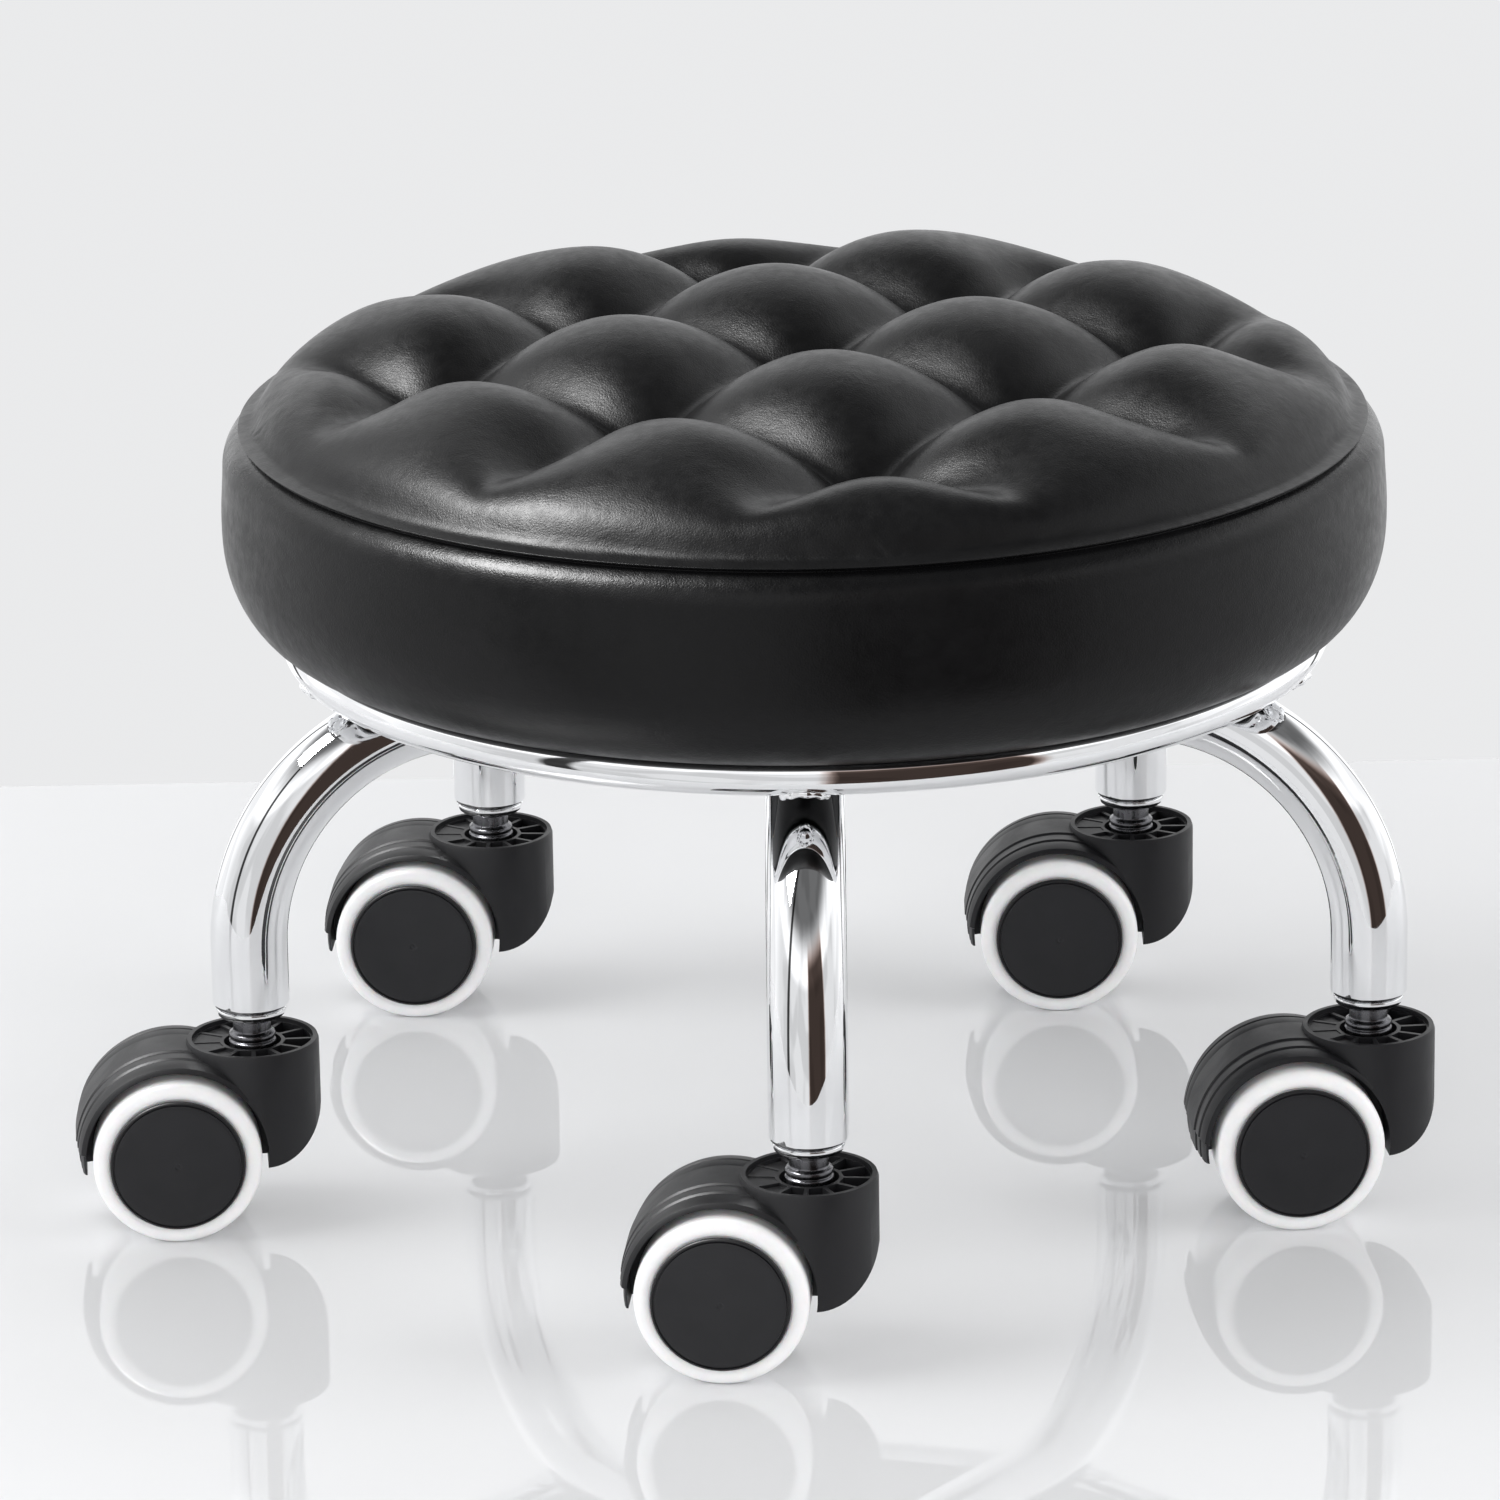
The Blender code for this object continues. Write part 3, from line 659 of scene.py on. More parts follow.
def cushion_mesh():
    """The tufted top as a grid along the lattice that fans out to the rim, then the side and underside."""
    bm = bmesh.new()
    steps = INNER_CELLS * CELL_STEPS
    reach = INNER_CELLS / 2
    turn = Matrix.Rotation(TUFT_TURN, 2)
    grid = {}
    for i in range(steps + 1):
        for j in range(steps + 1):
            lattice = Vector((i / CELL_STEPS - reach, j / CELL_STEPS - reach))
            grid[i, j] = bm.verts.new(top_point(turn @ lattice * TUFT_PITCH))
    for i in range(steps):
        for j in range(steps):
            bm.faces.new((grid[i, j], grid[i + 1, j], grid[i + 1, j + 1], grid[i, j + 1]))

    # The square's outline, counter-clockwise, with the angle at which each of its columns meets the rim.
    outline = []
    for quarter in range(4):
        for step in range(steps):
            along = step / CELL_STEPS - reach
            i, j = [(steps, step), (steps - step, steps), (0, steps - step), (step, 0)][quarter]
            outline.append((grid[i, j], rim_angle(along) + quarter * math.pi / 2 + TUFT_TURN))
    previous = [vert for vert, _ in outline]
    inner_points = [vert.co.copy() for vert in previous]
    rim_points = [polar(SEAM_RADIUS, angle) for _, angle in outline]
    for row in range(1, RIM_ROWS + 1):
        share = 1 - (1 - row / RIM_ROWS) ** RIM_ROW_POWER
        ring = []
        for inner, rim in zip(inner_points, rim_points):
            ring.append(bm.verts.new(top_point(inner.xy.lerp(rim.xy, share))))
        bridge(bm, previous, ring)
        previous = ring
    for radius, height in side_profile():
        if radius == 0:
            last = bm.verts.new((0, 0, height))
            for index, vert in enumerate(previous):
                bm.faces.new((vert, previous[(index + 1) % len(previous)], last))
            continue
        ring = [bm.verts.new(polar(radius, angle, height)) for _, angle in outline]
        bridge(bm, previous, ring)
        previous = ring
    return finished_mesh("cushion", bm, sharp_degrees=180)


CLOTH_FRAMES = 14
CLOTH_CAP = 0.006  # how far a point may move
CLOTH_SETTINGS = {
    "quality": 6,
    "mass": 0.25,
    "tension_stiffness": 22.0,
    "compression_stiffness": 22.0,
    "shear_stiffness": 12.0,
    "bending_stiffness": 0.8,
    "tension_damping": 8.0,
    "compression_damping": 8.0,
    "air_damping": 3.0,
    "use_pressure": True,
    "uniform_pressure_force": 4.0,
    "vertex_group_mass": "held",
}


def inflate(obj):
    """Lets the cover settle as stiff cloth under pressure, held at the tufts and below the seam."""
    mesh = obj.data
    before = np.array([vert.co for vert in mesh.vertices])
    group = obj.vertex_groups.new(name="held")
    for vert in mesh.vertices:
        group.add([vert.index], held_share(vert.co), "REPLACE")
    cloth = obj.modifiers.new("cloth", "CLOTH")
    for key, value in CLOTH_SETTINGS.items():
        setattr(cloth.settings, key, value)
    cloth.settings.effector_weights.gravity = 0.0
    cloth.collision_settings.use_collision = False
    cloth.collision_settings.use_self_collision = False
    cloth.point_cache.frame_start = 1
    cloth.point_cache.frame_end = CLOTH_FRAMES
    scene = bpy.context.scene
    for number in range(1, CLOTH_FRAMES + 1):
        scene.frame_set(number)
    swollen = evaluated_mesh(obj, "swollen")
    after = np.array([vert.co for vert in swollen.vertices])
    scene.frame_set(1)
    obj.modifiers.remove(cloth)
    bpy.data.meshes.remove(swollen)
    shift = after - before
    length = np.linalg.norm(shift, axis=1, keepdims=True)
    shift *= np.minimum(1.0, CLOTH_CAP / np.maximum(length, 1e-9))
    mesh.vertices.foreach_set("co", (before + shift).astype(np.float32).ravel())
    mesh.update()


def held_share(point):
    """How firmly a point of the cover is held: fully below the seam and at a tuft, less on a tuft line."""
    if point.xy.length > SEAM_RADIUS - HELD_BELOW_SEAM or point.z < SEAM_Z + HELD_BELOW_SEAM:
        return 1.0
    lattice = Matrix.Rotation(-TUFT_TURN, 2) @ point.xy / TUFT_PITCH
    to_lines = sorted(abs(value - round(value)) if abs(value) < LAST_CREST else 1.0 for value in lattice)
    if to_lines[1] < HELD_AT_TUFT:
        return 1.0
    if to_lines[0] < HELD_AT_LINE:
        return LINE_GRIP
    return 0.0


def add_cushion():
    cushion = new_object("tufted_cushion", cushion_mesh())
    cushion.location = AXIS
    cushion.data.materials.append(LEATHER)
    inflate(cushion)
    smooth = cushion.modifiers.new("smooth", "SUBSURF")
    smooth.levels = smooth.render_levels = 1
    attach(cushion, STOOL)
    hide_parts("seat_cover", "seat_foam")
    return cushion


# ---- seat board and fixings ----


def screw_places():
    angles = [FIRST_SCREW_ANGLE + 2 * math.pi * number / SCREW_COUNT for number in range(SCREW_COUNT)]
    return [polar(SCREW_CIRCLE_RADIUS, angle) for angle in angles]


def drilled(name, disc, low, high, bevel=0.0):
    """A disc with a hole for each screw, from one height to another."""
    cuts = []
    for place in screw_places():
        hole = turned("screw_hole", cylinder(SCREW_RADIUS + GAP, low, high), 24)
        cuts.append(("DIFFERENCE", moved(hole, place)))
    return combined(name, disc, cuts, bevel)


def add_board_and_fixings():
    disc = turned("board", rounded(cylinder(BOARD_RADIUS, BOARD_Z, BOARD_TOP_Z), 0.001), 160)
    board = drilled("plywood_board", disc, BOARD_Z - 0.01, BOARD_TOP_Z - 0.002)
    add_piece("plywood_board", board, PLYWOOD, STOOL, ["seat_board"], AXIS)

    plate_z = PLATE_LOW.z
    disc = turned("plate", rounded(cylinder(PLATE_RADIUS, plate_z, PLATE_HIGH.z), 0.0007), 128)
    plate = drilled("steel_plate", disc, plate_z - 0.01, plate_z + 0.01, bevel=0.00025)
    add_piece("steel_plate", plate, ZINC, STOOL, ["mounting_plate"], AXIS)

    cloth_low, cloth_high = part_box("dust_cover")
    outer_edge = (cloth_high.x - cloth_low.x) / 2
    outline = dust_cloth_outline(PLATE_RADIUS + 0.002, outer_edge, cloth_low.z, cloth_high.z)
    cloth = turned("cloth", outline, 160)
    add_piece("dust_cloth_ring", cloth, CLOTH, STOOL, ["dust_cover"], AXIS)

    screw = screw_mesh(plate_z - GAP)
    for number, offset in enumerate(screw_places(), start=1):
        place = AXIS + offset
        node = nearest_node(place, "seat_screw_")
        yaw = 0.7 * number
        add_piece(f"pan_screw_{number}", screw, ZINC, STOOL, [node], place, yaw)


def nearest_node(place, prefix):
    names = [name for name in frame["nodes"] if name.startswith(prefix)]
    return min(names, key=lambda name: (middle_of(name).xy - place.xy).length)


def dust_cloth_outline(inner, outer, low, high, steps=16):
    """The cloth's section, with shallow waves on its underside."""
    lower = []
    for step in range(steps + 1):
        share = step / steps
        lower.append((inner + (outer - inner) * share, low + 0.0002 * math.sin(12 * share)))
    return lower + [(outer, high), (inner, high)]


def screw_mesh(head_z):
    """A pan-head screw with a cross recess, its head below the plate."""
    outline = [
        (0, head_z - 0.0024),
        (0.0016, head_z - 0.00235),
        (0.0029, head_z - 0.0019),
        (0.0038, head_z - 0.0009),
        (SCREW_HEAD_RADIUS, head_z - 0.0003),
        (SCREW_HEAD_RADIUS, head_z),
        (SCREW_RADIUS, head_z),
    ]
    root = SCREW_RADIUS - 0.0004
    for number in range(SCREW_TURNS):
        start = head_z + 0.001 + number * SCREW_PITCH
        outline += [(root, start), (SCREW_RADIUS, start + SCREW_PITCH / 2)]
    outline += [(root, head_z + 0.0098), (0, head_z + 0.0112)]
    recess = []
    wedge = [(-0.0019, head_z - 0.003), (0.0019, head_z - 0.003), (0, head_z - 0.0008)]
    for degrees in (0, 90):
        bar = prism("recess_bar", wedge, 0.0004)
        bar.transform(Matrix.Rotation(math.radians(degrees), 4, "Z"))
        recess.append(("DIFFERENCE", bar))
    return combined("pan_screw", turned("screw", outline, 32), recess)


# ---- chrome base ----


def leg_stations():
    """(centre, direction, radius) round the tube's wall: along its outside, then back down its bore."""
    up = Vector((0, 0, 1))
    inwards = Vector((-1, 0, 0))
    foot = Vector((LEG_CIRCLE_RADIUS, 0, TUBE_FOOT_Z))
    center = Vector((LEG_CIRCLE_RADIUS - BEND_RADIUS, 0, BEND_START_Z))
    lip = []
    for degrees in (0, 25, 50, 70, 90):
        angle = math.radians(degrees)
        height = TUBE_LIP * (1 - math.sin(angle))
        lip.append((foot + up * height, up, TUBE_RADIUS - TUBE_LIP * (1 - math.cos(angle))))
    path = []
    bend_steps = 48
    for step in range(bend_steps + 1):
        angle = math.radians(90) * step / bend_steps
        outwards = Vector((math.cos(angle), 0, math.sin(angle)))
        along = Vector((-math.sin(angle), 0, math.cos(angle)))
        path.append((center + outwards * BEND_RADIUS, along))
    path.append((Vector((HUB_RADIUS + GAP, 0, RUN_Z)), inwards))
    outside = lip[::-1] + [(point, along, TUBE_RADIUS) for point, along in path]
    bore_radius = TUBE_RADIUS - TUBE_WALL
    bore = [(point, along, bore_radius) for point, along in path[::-1]]
    bore.append((foot + up * 0.0005, up, bore_radius))
    bore.append((foot, up, bore_radius + 0.0004))
    return outside + bore


def add_base():
    leg = swept("bent_tube", leg_stations(), TUBE_SIDES)
    bead = weld_mesh()
    for place in PLACES:
        outwards = FEET[place] - AXIS.xy
        yaw = math.atan2(outwards.y, outwards.x)
        add_piece(f"bent_leg_{place}", leg, CHROME, STOOL, [f"leg_{place}"], AXIS, yaw)
        weld = AXIS + polar(RING_RADIUS, yaw, TUBE_TOP_Z)
        add_piece(f"weld_{place}", bead, CHROME, STOOL, [], weld, yaw)
    section = arc((RING_RADIUS, RING_Z), RING_TUBE_RADIUS, 0, 360, 40)[:-1]
    ring = turned("ring", section, 288)
    add_piece("seat_support_ring", ring, CHROME, STOOL, ["seat_ring"], AXIS)
    hub_outline = [(HUB_BORE_RADIUS, HUB_Z), (HUB_RADIUS, HUB_Z)]
    hub_outline += [(HUB_RADIUS, TUBE_TOP_Z), (HUB_BORE_RADIUS, TUBE_TOP_Z)]
    hub = turned("hub", rounded(hub_outline, 0.0012), 128)
    add_piece("welded_hub", hub, CHROME, STOOL, ["centre_hub"], AXIS)


def weld_mesh(around=72, section=12):
    """The bead between the ring and a tube: a low fillet round their oval contact."""
    half_length, half_width = WELD_HALF_SIZES
    bm = bmesh.new()
    loops = []
    for index in range(around):
        angle = 2 * math.pi * index / around
        radial, tangential = half_length * math.cos(angle), half_width * math.sin(angle)
        sink = TUBE_RADIUS - math.sqrt(TUBE_RADIUS**2 - tangential**2)
        thickness = WELD_THICKNESS * (1 + 0.18 * math.sin(9 * angle + 0.5))
        outwards = Vector((math.cos(angle), math.sin(angle), 0))
        loop = []
        for step in range(section):
            turn = 2 * math.pi * step / section
            offset = outwards * math.cos(turn) + Vector((0, 0, math.sin(turn)))
            loop.append(bm.verts.new(Vector((radial, tangential, 0.0002 - sink)) + offset * thickness))
        loops.append(loop)
    for first, second in zip(loops, loops[1:] + loops[:1]):
        bridge(bm, first, second)
    return finished_mesh("weld_bead", bm, sharp_degrees=180)


# ---- casters ----


def hood_mesh():
    """The caster's body: a ribbed socket, a web for the axle and a grooved shell over both wheels."""
    rim_z = BARREL_TOP_Z - 0.0012
    outline = [(0, BARREL_FOOT_Z), (BARREL_RADIUS, BARREL_FOOT_Z), (BARREL_RADIUS, rim_z)]
    outline += [(BARREL_RADIUS - 0.0004, BARREL_TOP_Z), (0, BARREL_TOP_Z)]
    barrel = turned("barrel", outline, 96)

    corner_x, corner_z = BARREL_CORNER
    side_view = [(CUT_REACH, CUT_TOP_Z), (CUT_REACH, BARREL_FOOT_Z), (corner_x, BARREL_FOOT_Z)]
    corner_steps = 16
    for step in range(1, corner_steps + 1):
        angle = math.radians(90) * step / corner_steps
        across = (BARREL_RADIUS + corner_x) * math.sin(angle)
        side_view.append((corner_x - across, corner_z - (corner_z - BARREL_FOOT_Z) * math.cos(angle)))
    side_view.append((-BARREL_RADIUS, CUT_TOP_Z))

    steps = [("INTERSECT", prism("barrel_side_view", side_view, CUT_REACH)), ("UNION", shell_mesh())]
    cuts = []
    for low, high in ((-CUT_REACH, -WEB_HALF_WIDTH), (WEB_HALF_WIDTH, CUT_REACH)):
        pocket = turned("wheel_pocket", cylinder(POCKET_RADIUS, low, high), 120, "Y")
        cuts.append(moved(pocket, (TRAIL, 0, AXLE_Z)))
    axle_bore = turned("axle_bore", cylinder(AXLE_RADIUS + GAP, -0.01, 0.01), 32, "Y")
    cuts.append(moved(axle_bore, (TRAIL, 0, AXLE_Z)))
    cuts.append(turned("rim_recess", cylinder(SOCKET_RADIUS, RIB_TOP_Z, CUT_TOP_Z), 96))
    cuts.append(turned("collar_recess", cylinder(COLLAR_RECESS_RADIUS, SOCKET_BOSS_Z, CUT_TOP_Z), 64))
    cuts.append(rib_spaces())
    cuts.append(turned("stem_bore", cylinder(STEM_RADIUS + GAP, STEM_TIP_Z - GAP, CUT_TOP_Z), 48))
    steps += [("DIFFERENCE", cut) for cut in cuts]
    return combined("caster_shell", barrel, steps, bevel=0.00035)


def shell_section():
    """(across, radius) of the shell's outside: rounded edges, and two shallow grooves on each side."""
    half = HOOD_HALF_WIDTH
    side = [
        (half, HOOD_RADIUS - 0.0042),
        (half - 0.0001, HOOD_RADIUS - 0.0026),
        (half - 0.0010, HOOD_RADIUS - 0.0014),
        (half - 0.0030, HOOD_RADIUS - 0.0008),
        (half - 0.0055, HOOD_RADIUS - 0.0006),
        (half - 0.0060, HOOD_RADIUS - 0.0009),
        (half - 0.0066, HOOD_RADIUS - 0.0009),
        (half - 0.0072, HOOD_RADIUS - 0.0004),
        (half - 0.0110, HOOD_RADIUS - 0.0003),
        (half - 0.0116, HOOD_RADIUS - 0.0005),
        (half - 0.0122, HOOD_RADIUS - 0.0005),
        (half - 0.0128, HOOD_RADIUS),
    ]
    return side + [(-across, radius) for across, radius in side[::-1]]


def shell_mesh(steps=75):
    """The shell and the web as one solid, turned about the axle from its low tip to inside the barrel."""
    bm = bmesh.new()
    first, last = SHELL_ANGLES
    loops = []
    for step in range(steps + 1):
        degrees = first + (last - first) * step / steps
        angle = math.radians(degrees)
        inset = SHELL_TIP_INSET if degrees < SHELL_TIP_END else 0.0
        loop = []
        for across, radius in shell_section():
            narrowed = math.copysign(abs(across) - inset, across)
            reach = radius - inset * 0.5
            point = (TRAIL + reach * math.cos(angle), narrowed, AXLE_Z + reach * math.sin(angle))
            loop.append(bm.verts.new(point))
        for across in (-1, 1):
            edge = across * (HOOD_HALF_WIDTH - inset)
            hub = polar(WEB_HUB_RADIUS, angle)
            loop.append(bm.verts.new((TRAIL + hub.x, edge, AXLE_Z + hub.y)))
        loops.append(loop)
    for low, high in zip(loops, loops[1:]):
        bridge(bm, low, high)
    bm.faces.new(loops[0])
    bm.faces.new(loops[-1])
    shell = finished_mesh("shell", bm)
    boss = turned("web_boss", cylinder(WEB_HUB_RADIUS + 0.001, -WEB_HALF_WIDTH, WEB_HALF_WIDTH), 64, "Y")
    (x, z), (end_x, end_z) = WEB_CORNER, WEB_END
    neck = prism("web_neck", [(x, z), (end_x, z), (end_x, end_z), (x, end_z)], WEB_HALF_WIDTH)
    return combined("shell_and_web", shell, [("UNION", moved(boss, (TRAIL, 0, AXLE_Z))), ("UNION", neck)])


def arch_height(across):
    return AXLE_Z + math.sqrt(max(HOOD_RADIUS**2 - (TRAIL - across) ** 2, 0.0))


def rib_spaces():
    """The spaces between the socket's ribs. Each one's floor stays above the arch over the wheels."""
    bm = bmesh.new()
    start, end = SOCKET_BOSS_RADIUS, SOCKET_RADIUS - 0.0006
    outline = ((start, -1), (end, -1), (end, -0.4), (end, 0.4), (end, 1), (start, 1))
    for number in range(RIB_COUNT):
        middle = 2 * math.pi * (number + 0.5) / RIB_COUNT
        corners = []
        for radius, side in outline:
            half = math.pi / RIB_COUNT - math.asin(RIB_THICKNESS / 2 / radius)
            corners.append(polar(radius, middle + side * half))
        floor = max(SOCKET_FLOOR_Z, *(arch_height(corner.x) for corner in corners))
        face = bm.faces.new([bm.verts.new(corner + Vector((0, 0, floor))) for corner in corners])
        grown = bmesh.ops.extrude_face_region(bm, geom=[face])["geom"]
        top = [vert for vert in grown if isinstance(vert, bmesh.types.BMVert)]
        bmesh.ops.translate(bm, verts=top, vec=(0, 0, BARREL_TOP_Z - floor))
    return finished_mesh("rib_spaces", bm)


def stem_mesh():
    collar_z = SOCKET_BOSS_Z + GAP
    outline = [
        (0, STEM_TIP_Z),
        (STEM_RADIUS, STEM_TIP_Z),
        (STEM_RADIUS, collar_z),
        (STEM_COLLAR_RADIUS, collar_z),
        (STEM_COLLAR_RADIUS, 0.0530),
        (STEM_COLLAR_RADIUS - 0.0006, 0.0534),
        (STEM_COLLAR_RADIUS - 0.0006, 0.0538),
        (STEM_COLLAR_RADIUS, 0.0542),
        (STEM_COLLAR_RADIUS - 0.0002, 0.0552),
        (STEM_NECK_RADIUS, 0.0560),
        (STEM_NECK_RADIUS, 0.0820),
        (0, 0.0835),
    ]
    return turned("stem", rounded(outline, 0.0004, steps=3), 64)


def sleeve_mesh():
    """The leg's insert: a bright flange under the tube, and a bore for the stem."""
    inside = TUBE_RADIUS - TUBE_WALL - GAP - 0.0002
    flange_top = TUBE_FOOT_Z - GAP
    outline = [
        (SLEEVE_BORE_RADIUS, FLANGE_Z),
        (FLANGE_RADIUS - 0.0016, FLANGE_Z),
        (FLANGE_RADIUS - 0.0003, FLANGE_Z + 0.0010),
        (FLANGE_RADIUS, FLANGE_Z + 0.0022),
        (FLANGE_RADIUS, flange_top - 0.0004),
        (FLANGE_RADIUS - 0.0006, flange_top),
        (inside, flange_top),
        (inside, SLEEVE_TOP_Z),
        (SLEEVE_BORE_RADIUS, SLEEVE_TOP_Z),
    ]
    return turned("sleeve", rounded(outline, 0.0007, steps=5), 80)


def core_mesh():
    """The wheel's drum: a hub and a rim on its inner side, and a cone under its cap."""
    outline = [
        (AXLE_RADIUS + GAP, CORE_INNER),
        (0.0055, CORE_INNER),
        (0.0060, CORE_WEB),
        (CORE_RADIUS - 0.0027, CORE_WEB),
        (CORE_RADIUS - 0.0022, CORE_INNER),
        (CORE_RADIUS, CORE_INNER),
        (CORE_RADIUS, CAP_BACK - GAP),
        (AXLE_RADIUS + GAP, CAP_BACK - 0.0014),
    ]
    return turned("wheel_drum", rounded(outline, 0.0005, steps=3), 96, "Y")


def cap_mesh():
    """The snap-in cap: a shallow dome with a groove inside its rim and a moulding mark in the middle."""
    rim = CAP_RADIUS
    face = CAP_FACE
    outline = [
        (0, CAP_BACK),
        (rim - 0.0009, CAP_BACK),
        (rim, CAP_BACK + 0.0004),
        (rim, face - 0.0010),
        (rim - 0.0003, face - 0.00065),
        (rim - 0.0006, face - 0.0006),
        (rim - 0.0007, face - 0.0012),
        (rim - 0.0011, face - 0.0012),
        (rim - 0.0012, face - 0.0006),
    ]
    dome_steps = 12
    for step in range(dome_steps):
        share = 1 - step / dome_steps
        outline.append(((rim - CAP_RIM_WIDTH) * share, face - 0.00045 * share**2))
    outline += [(0.0009, face), (0.00075, face - 0.00012), (0.0005, face - 0.00012), (0, face + 0.00003)]
    return turned("hub_cap", outline, 128, "Y", sharp_degrees=50)


def tread_mesh():
    """The tyre: a soft crowned tread with a round outer shoulder and a lip under the cap's edge."""
    inner, outer = TYRE_SIDES
    crown = WHEEL_RADIUS
    outline = [(CORE_RADIUS + GAP, inner), (crown - 0.0016, inner)]
    outline += arc((crown - 0.0016, inner + 0.0016), 0.0016, -90, 0, 6)
    outline += [(crown, inner + 0.004), (crown, outer - 0.0045)]
    outline += arc((crown - 0.0024, outer - 0.0026), 0.0024, 4, 78, 10)
    outline += [(CAP_RADIUS + 0.0022, outer), (CAP_RADIUS + 0.0006, outer - 0.0001)]
    outline += [(CAP_RADIUS + 0.0003, outer - 0.0005), (CORE_RADIUS + GAP, CAP_BACK - 0.0008)]
    return turned("tread", outline, 160, "Y", sharp_degrees=50)


def add_casters():
    hood = hood_mesh()
    stem = stem_mesh()
    sleeve = sleeve_mesh()
    axle_outline = cylinder(AXLE_RADIUS, -AXLE_HALF_LENGTH, AXLE_HALF_LENGTH)
    axle = turned("axle_pin", rounded(axle_outline, 0.0005, steps=3), 48, "Y")
    core = core_mesh()
    cap = cap_mesh()
    tread = tread_mesh()
    for place in PLACES:
        foot = Vector((*FEET[place], 0))
        hub = joint_point(f"roll_{place}_a")
        yaw = math.atan2(hub.y - foot.y, hub.x - foot.x)
        caster = f"caster_{place}"
        stem_node = f"caster_stem_{place}"
        hood_node = f"caster_hood_{place}"
        axle_node = f"caster_axle_{place}"
        add_piece(f"tube_insert_{place}", sleeve, CHROME, STOOL, [f"leg_sleeve_{place}"], foot)
        # The stems use the darker zinc copy, whose colour is painted shade.
        add_piece(f"swivel_stem_{place}", stem, SHADE_DARKENED_ZINC, STOOL, [stem_node], foot)
        add_piece(f"caster_body_{place}", hood, NYLON, caster, [hood_node], foot, yaw)
        add_piece(f"axle_pin_{place}", axle, ZINC, caster, [axle_node], hub, yaw)
        for letter, turn in (("a", 0.0), ("b", math.pi)):
            end = f"{place}_{letter}"
            wheel = f"wheel_{end}"
            core_node, tyre_node = f"wheel_core_{end}", f"tyre_{end}"
            facing = yaw + turn
            add_piece(f"wheel_drum_{end}", core, NYLON, wheel, [core_node], hub, facing)
            add_piece(f"hub_cap_{end}", cap, CAP_NYLON, wheel, [], hub, facing)
            add_piece(f"tread_{end}", tread, TREAD, wheel, [tyre_node], hub, facing)


# ---- studio ----

CAMERA_DISTANCE = 2.3745
CAMERA_ELEVATION = math.radians(17.566)
CAMERA_AZIMUTH = math.radians(0.766)
CAMERA_ROLL = math.radians(-0.9)
CAMERA_OFFSET = (-0.0165, 0.1156)
CAMERA_LENS = 194.1
FLOOR_BACK = 0.358
FLOOR_FRONT = -0.36
FLOOR_HALF_WIDTH = 1.9
FLOOR_TURN = math.radians(1.34)
LIGHTS_TARGET = AXIS + Vector((0, 0, 0.12))
# (place, size, power) of each softbox.
KEY_LEFT = ((-0.80, -0.13, 1.40), (0.7, 0.7), 3.0)
KEY_SHEEN = ((-0.84, -0.22, 1.28), (0.6, 0.5), 52.0)
FILLS = {
    "overhead_fill": ((-0.3, -0.1, 2.2), (2.6, 2.6), 4.0),
    "front_fill": ((0.2, -2.3, 0.75), (1.6, 0.8), 19.0),
    "left_fill": ((-1.9, -0.3, 0.85), (1.4, 0.9), 15.0),
    "right_fill": ((1.9, -0.3, 0.85), (1.4, 0.9), 15.0),
}
WALL_SEEN = 0.835  # the wall's strength where the camera sees it directly
WALL_COLOR = (0.985, 0.99, 1.0, 1.0)
FIGURE_COLOR = (1.0, 0.72, 0.62, 1.0)
# Dark sectors of the room: from and to, as azimuths in radians from the camera to the right, and softness.
FIGURE_SECTOR = (0.03, 0.95, 0.10)
POST_SECTOR = (-1.04, -0.86, 0.05)
WALL_GAP_SECTORS = ((2.50, 2.62, 0.04), (-2.62, -2.50, 0.04))
SECTOR_DARKNESS = 0.94


def add_camera():
    data = bpy.data.cameras.new("camera")
    data.sensor_width = 36.0
    data.lens = CAMERA_LENS
    camera = new_object("camera", data)
    right = Vector((math.cos(CAMERA_AZIMUTH), math.sin(CAMERA_AZIMUTH), 0))
    outwards = Vector((right.y, -right.x, 0))
    back = outwards * math.cos(CAMERA_ELEVATION) + Vector((0, 0, math.sin(CAMERA_ELEVATION)))
    up = back.cross(right)
    place = AXIS + back * CAMERA_DISTANCE + right * CAMERA_OFFSET[0] + up * CAMERA_OFFSET[1]
    rolled_right = right * math.cos(CAMERA_ROLL) + up * math.sin(CAMERA_ROLL)
    rolled_up = up * math.cos(CAMERA_ROLL) - right * math.sin(CAMERA_ROLL)
    axes = Matrix((rolled_right, rolled_up, back)).transposed()
    camera.matrix_world = Matrix.Translation(place) @ axes.to_4x4()
    bpy.context.scene.camera = camera


def floor_material():
    """Glossy white acrylic with a trace of wear in its polish."""
    nodes = Nodes("floor_acrylic")
    haze = nodes.noise(3.0, 4.0, 0.6)
    color = nodes.colors(haze, [(0.3, (0.80, 0.805, 0.815)), (0.7, (0.83, 0.835, 0.845))])
    nodes.link(color, "Base Color")
    nodes.link(nodes.ramp(haze, 0.004, 0.012), "Roughness")
    nodes.set(IOR=1.45)
    return nodes.material


def add_floor():
    bm = bmesh.new()
    half = FLOOR_HALF_WIDTH
    corners = [(-half, FLOOR_FRONT), (half, FLOOR_FRONT), (half, FLOOR_BACK), (-half, FLOOR_BACK)]
    bm.faces.new([bm.verts.new((x, y, 0)) for x, y in corners])
    floor = new_object("floor", finished_mesh("floor", bm))
    floor.location = AXIS
    floor.rotation_euler.z = FLOOR_TURN
    floor.data.materials.append(floor_material())


def add_softbox(name, place, size, power):
    data = bpy.data.lights.new(name, "AREA")
    data.shape = "RECTANGLE"
    data.size, data.size_y = size
    data.energy = power
    light = new_object(name, data)
    light.location = place
    light.rotation_euler = (LIGHTS_TARGET - Vector(place)).to_track_quat("-Z", "Y").to_euler()
    light.visible_camera = False
    return light


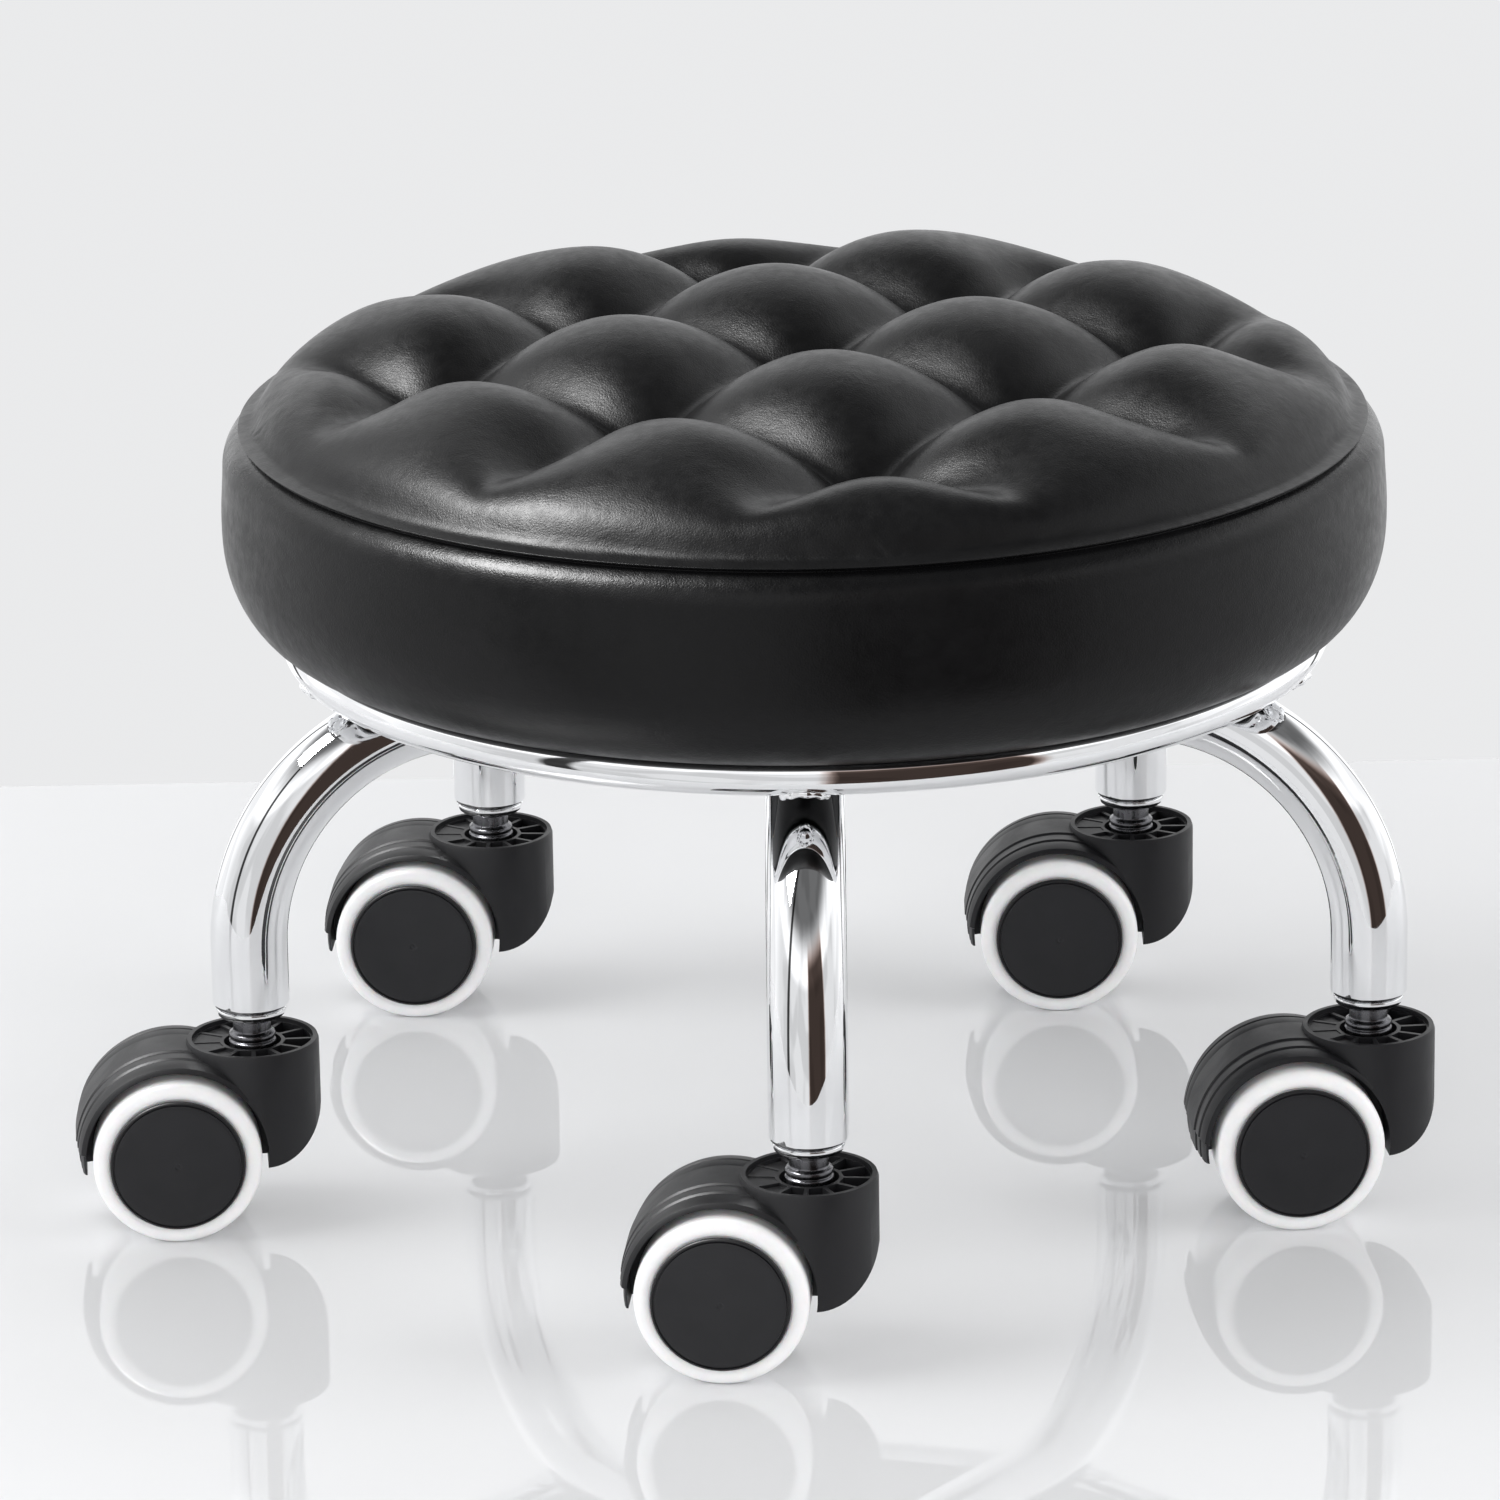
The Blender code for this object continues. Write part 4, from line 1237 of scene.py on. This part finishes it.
def add_world():
    """A bright studio wall behind, and a darker room with a few dark sectors on the camera's side."""
    world = bpy.data.worlds.new("studio")
    world.use_nodes = True
    bpy.context.scene.world = world
    tree = world.node_tree
    background = tree.nodes["Background"]

    def add(kind, inputs=None, **properties):
        return add_node(tree, kind, inputs, **properties).outputs

    def between(value, low, high, start, end):
        inputs = {"Value": value, 1: start, 2: end, 3: low, 4: high}
        return add("MapRange", inputs, interpolation_type="SMOOTHSTEP")["Result"]

    def calculated(operation, first, second):
        return add("Math", {0: first, 1: second}, operation=operation)["Value"]

    def times(first, second):
        return calculated("MULTIPLY", first, second)

    direction = add("TexCoord")["Generated"]
    parts = add("SeparateXYZ", {0: direction})
    azimuth = calculated("ARCTAN2", parts["X"], times(parts["Y"], -1.0))

    def sector(start, end, edge):
        rising = between(azimuth, 0.0, 1.0, start, start + edge)
        return times(rising, between(azimuth, 1.0, 0.0, end - edge, end))

    figure = times(sector(*FIGURE_SECTOR), between(parts["Z"], 1.0, 0.0, 0.50, 0.72))
    gaps = calculated("ADD", *(sector(*gap) for gap in WALL_GAP_SECTORS))
    dark = calculated("ADD", figure, calculated("ADD", sector(*POST_SECTOR), gaps))
    lit = calculated("SUBTRACT", 1.0, times(dark, SECTOR_DARKNESS))
    patches = add("TexNoise", {"Vector": direction, "Scale": 2.6, "Detail": 1.0, "Roughness": 0.4})["Fac"]
    level = times(between(parts["Y"], 0.90, 1.35, -0.2, 0.4), between(patches, 0.80, 1.0, 0.42, 0.55))
    band = between(parts["Z"], 1.0, 1.6, 0.36, 0.46)
    height = times(band, between(parts["Z"], 1.0, 0.12, 0.50, 0.80))
    strength = times(times(level, height), lit)
    seen = add("LightPath")["Is Camera Ray"]
    mixed = add("Mix", {0: seen, 2: strength, 3: WALL_SEEN}, data_type="FLOAT")
    tree.links.new(mixed[0], background.inputs["Strength"])
    warmth = times(figure, calculated("SUBTRACT", 1.0, seen))
    tint = add("Mix", {0: warmth, 6: WALL_COLOR, 7: FIGURE_COLOR}, data_type="RGBA")
    tree.links.new(tint[2], background.inputs["Color"])


def add_studio():
    add_camera()
    add_floor()
    add_world()
    add_softbox("key_left", *KEY_LEFT)
    add_softbox("key_sheen", *KEY_SHEEN).visible_diffuse = False
    for name, fill in FILLS.items():
        add_softbox(name, *fill).visible_glossy = False
    bpy.context.scene.view_settings.view_transform = "Standard"


add_studio()
add_cushion()
add_board_and_fixings()
add_base()
add_casters()
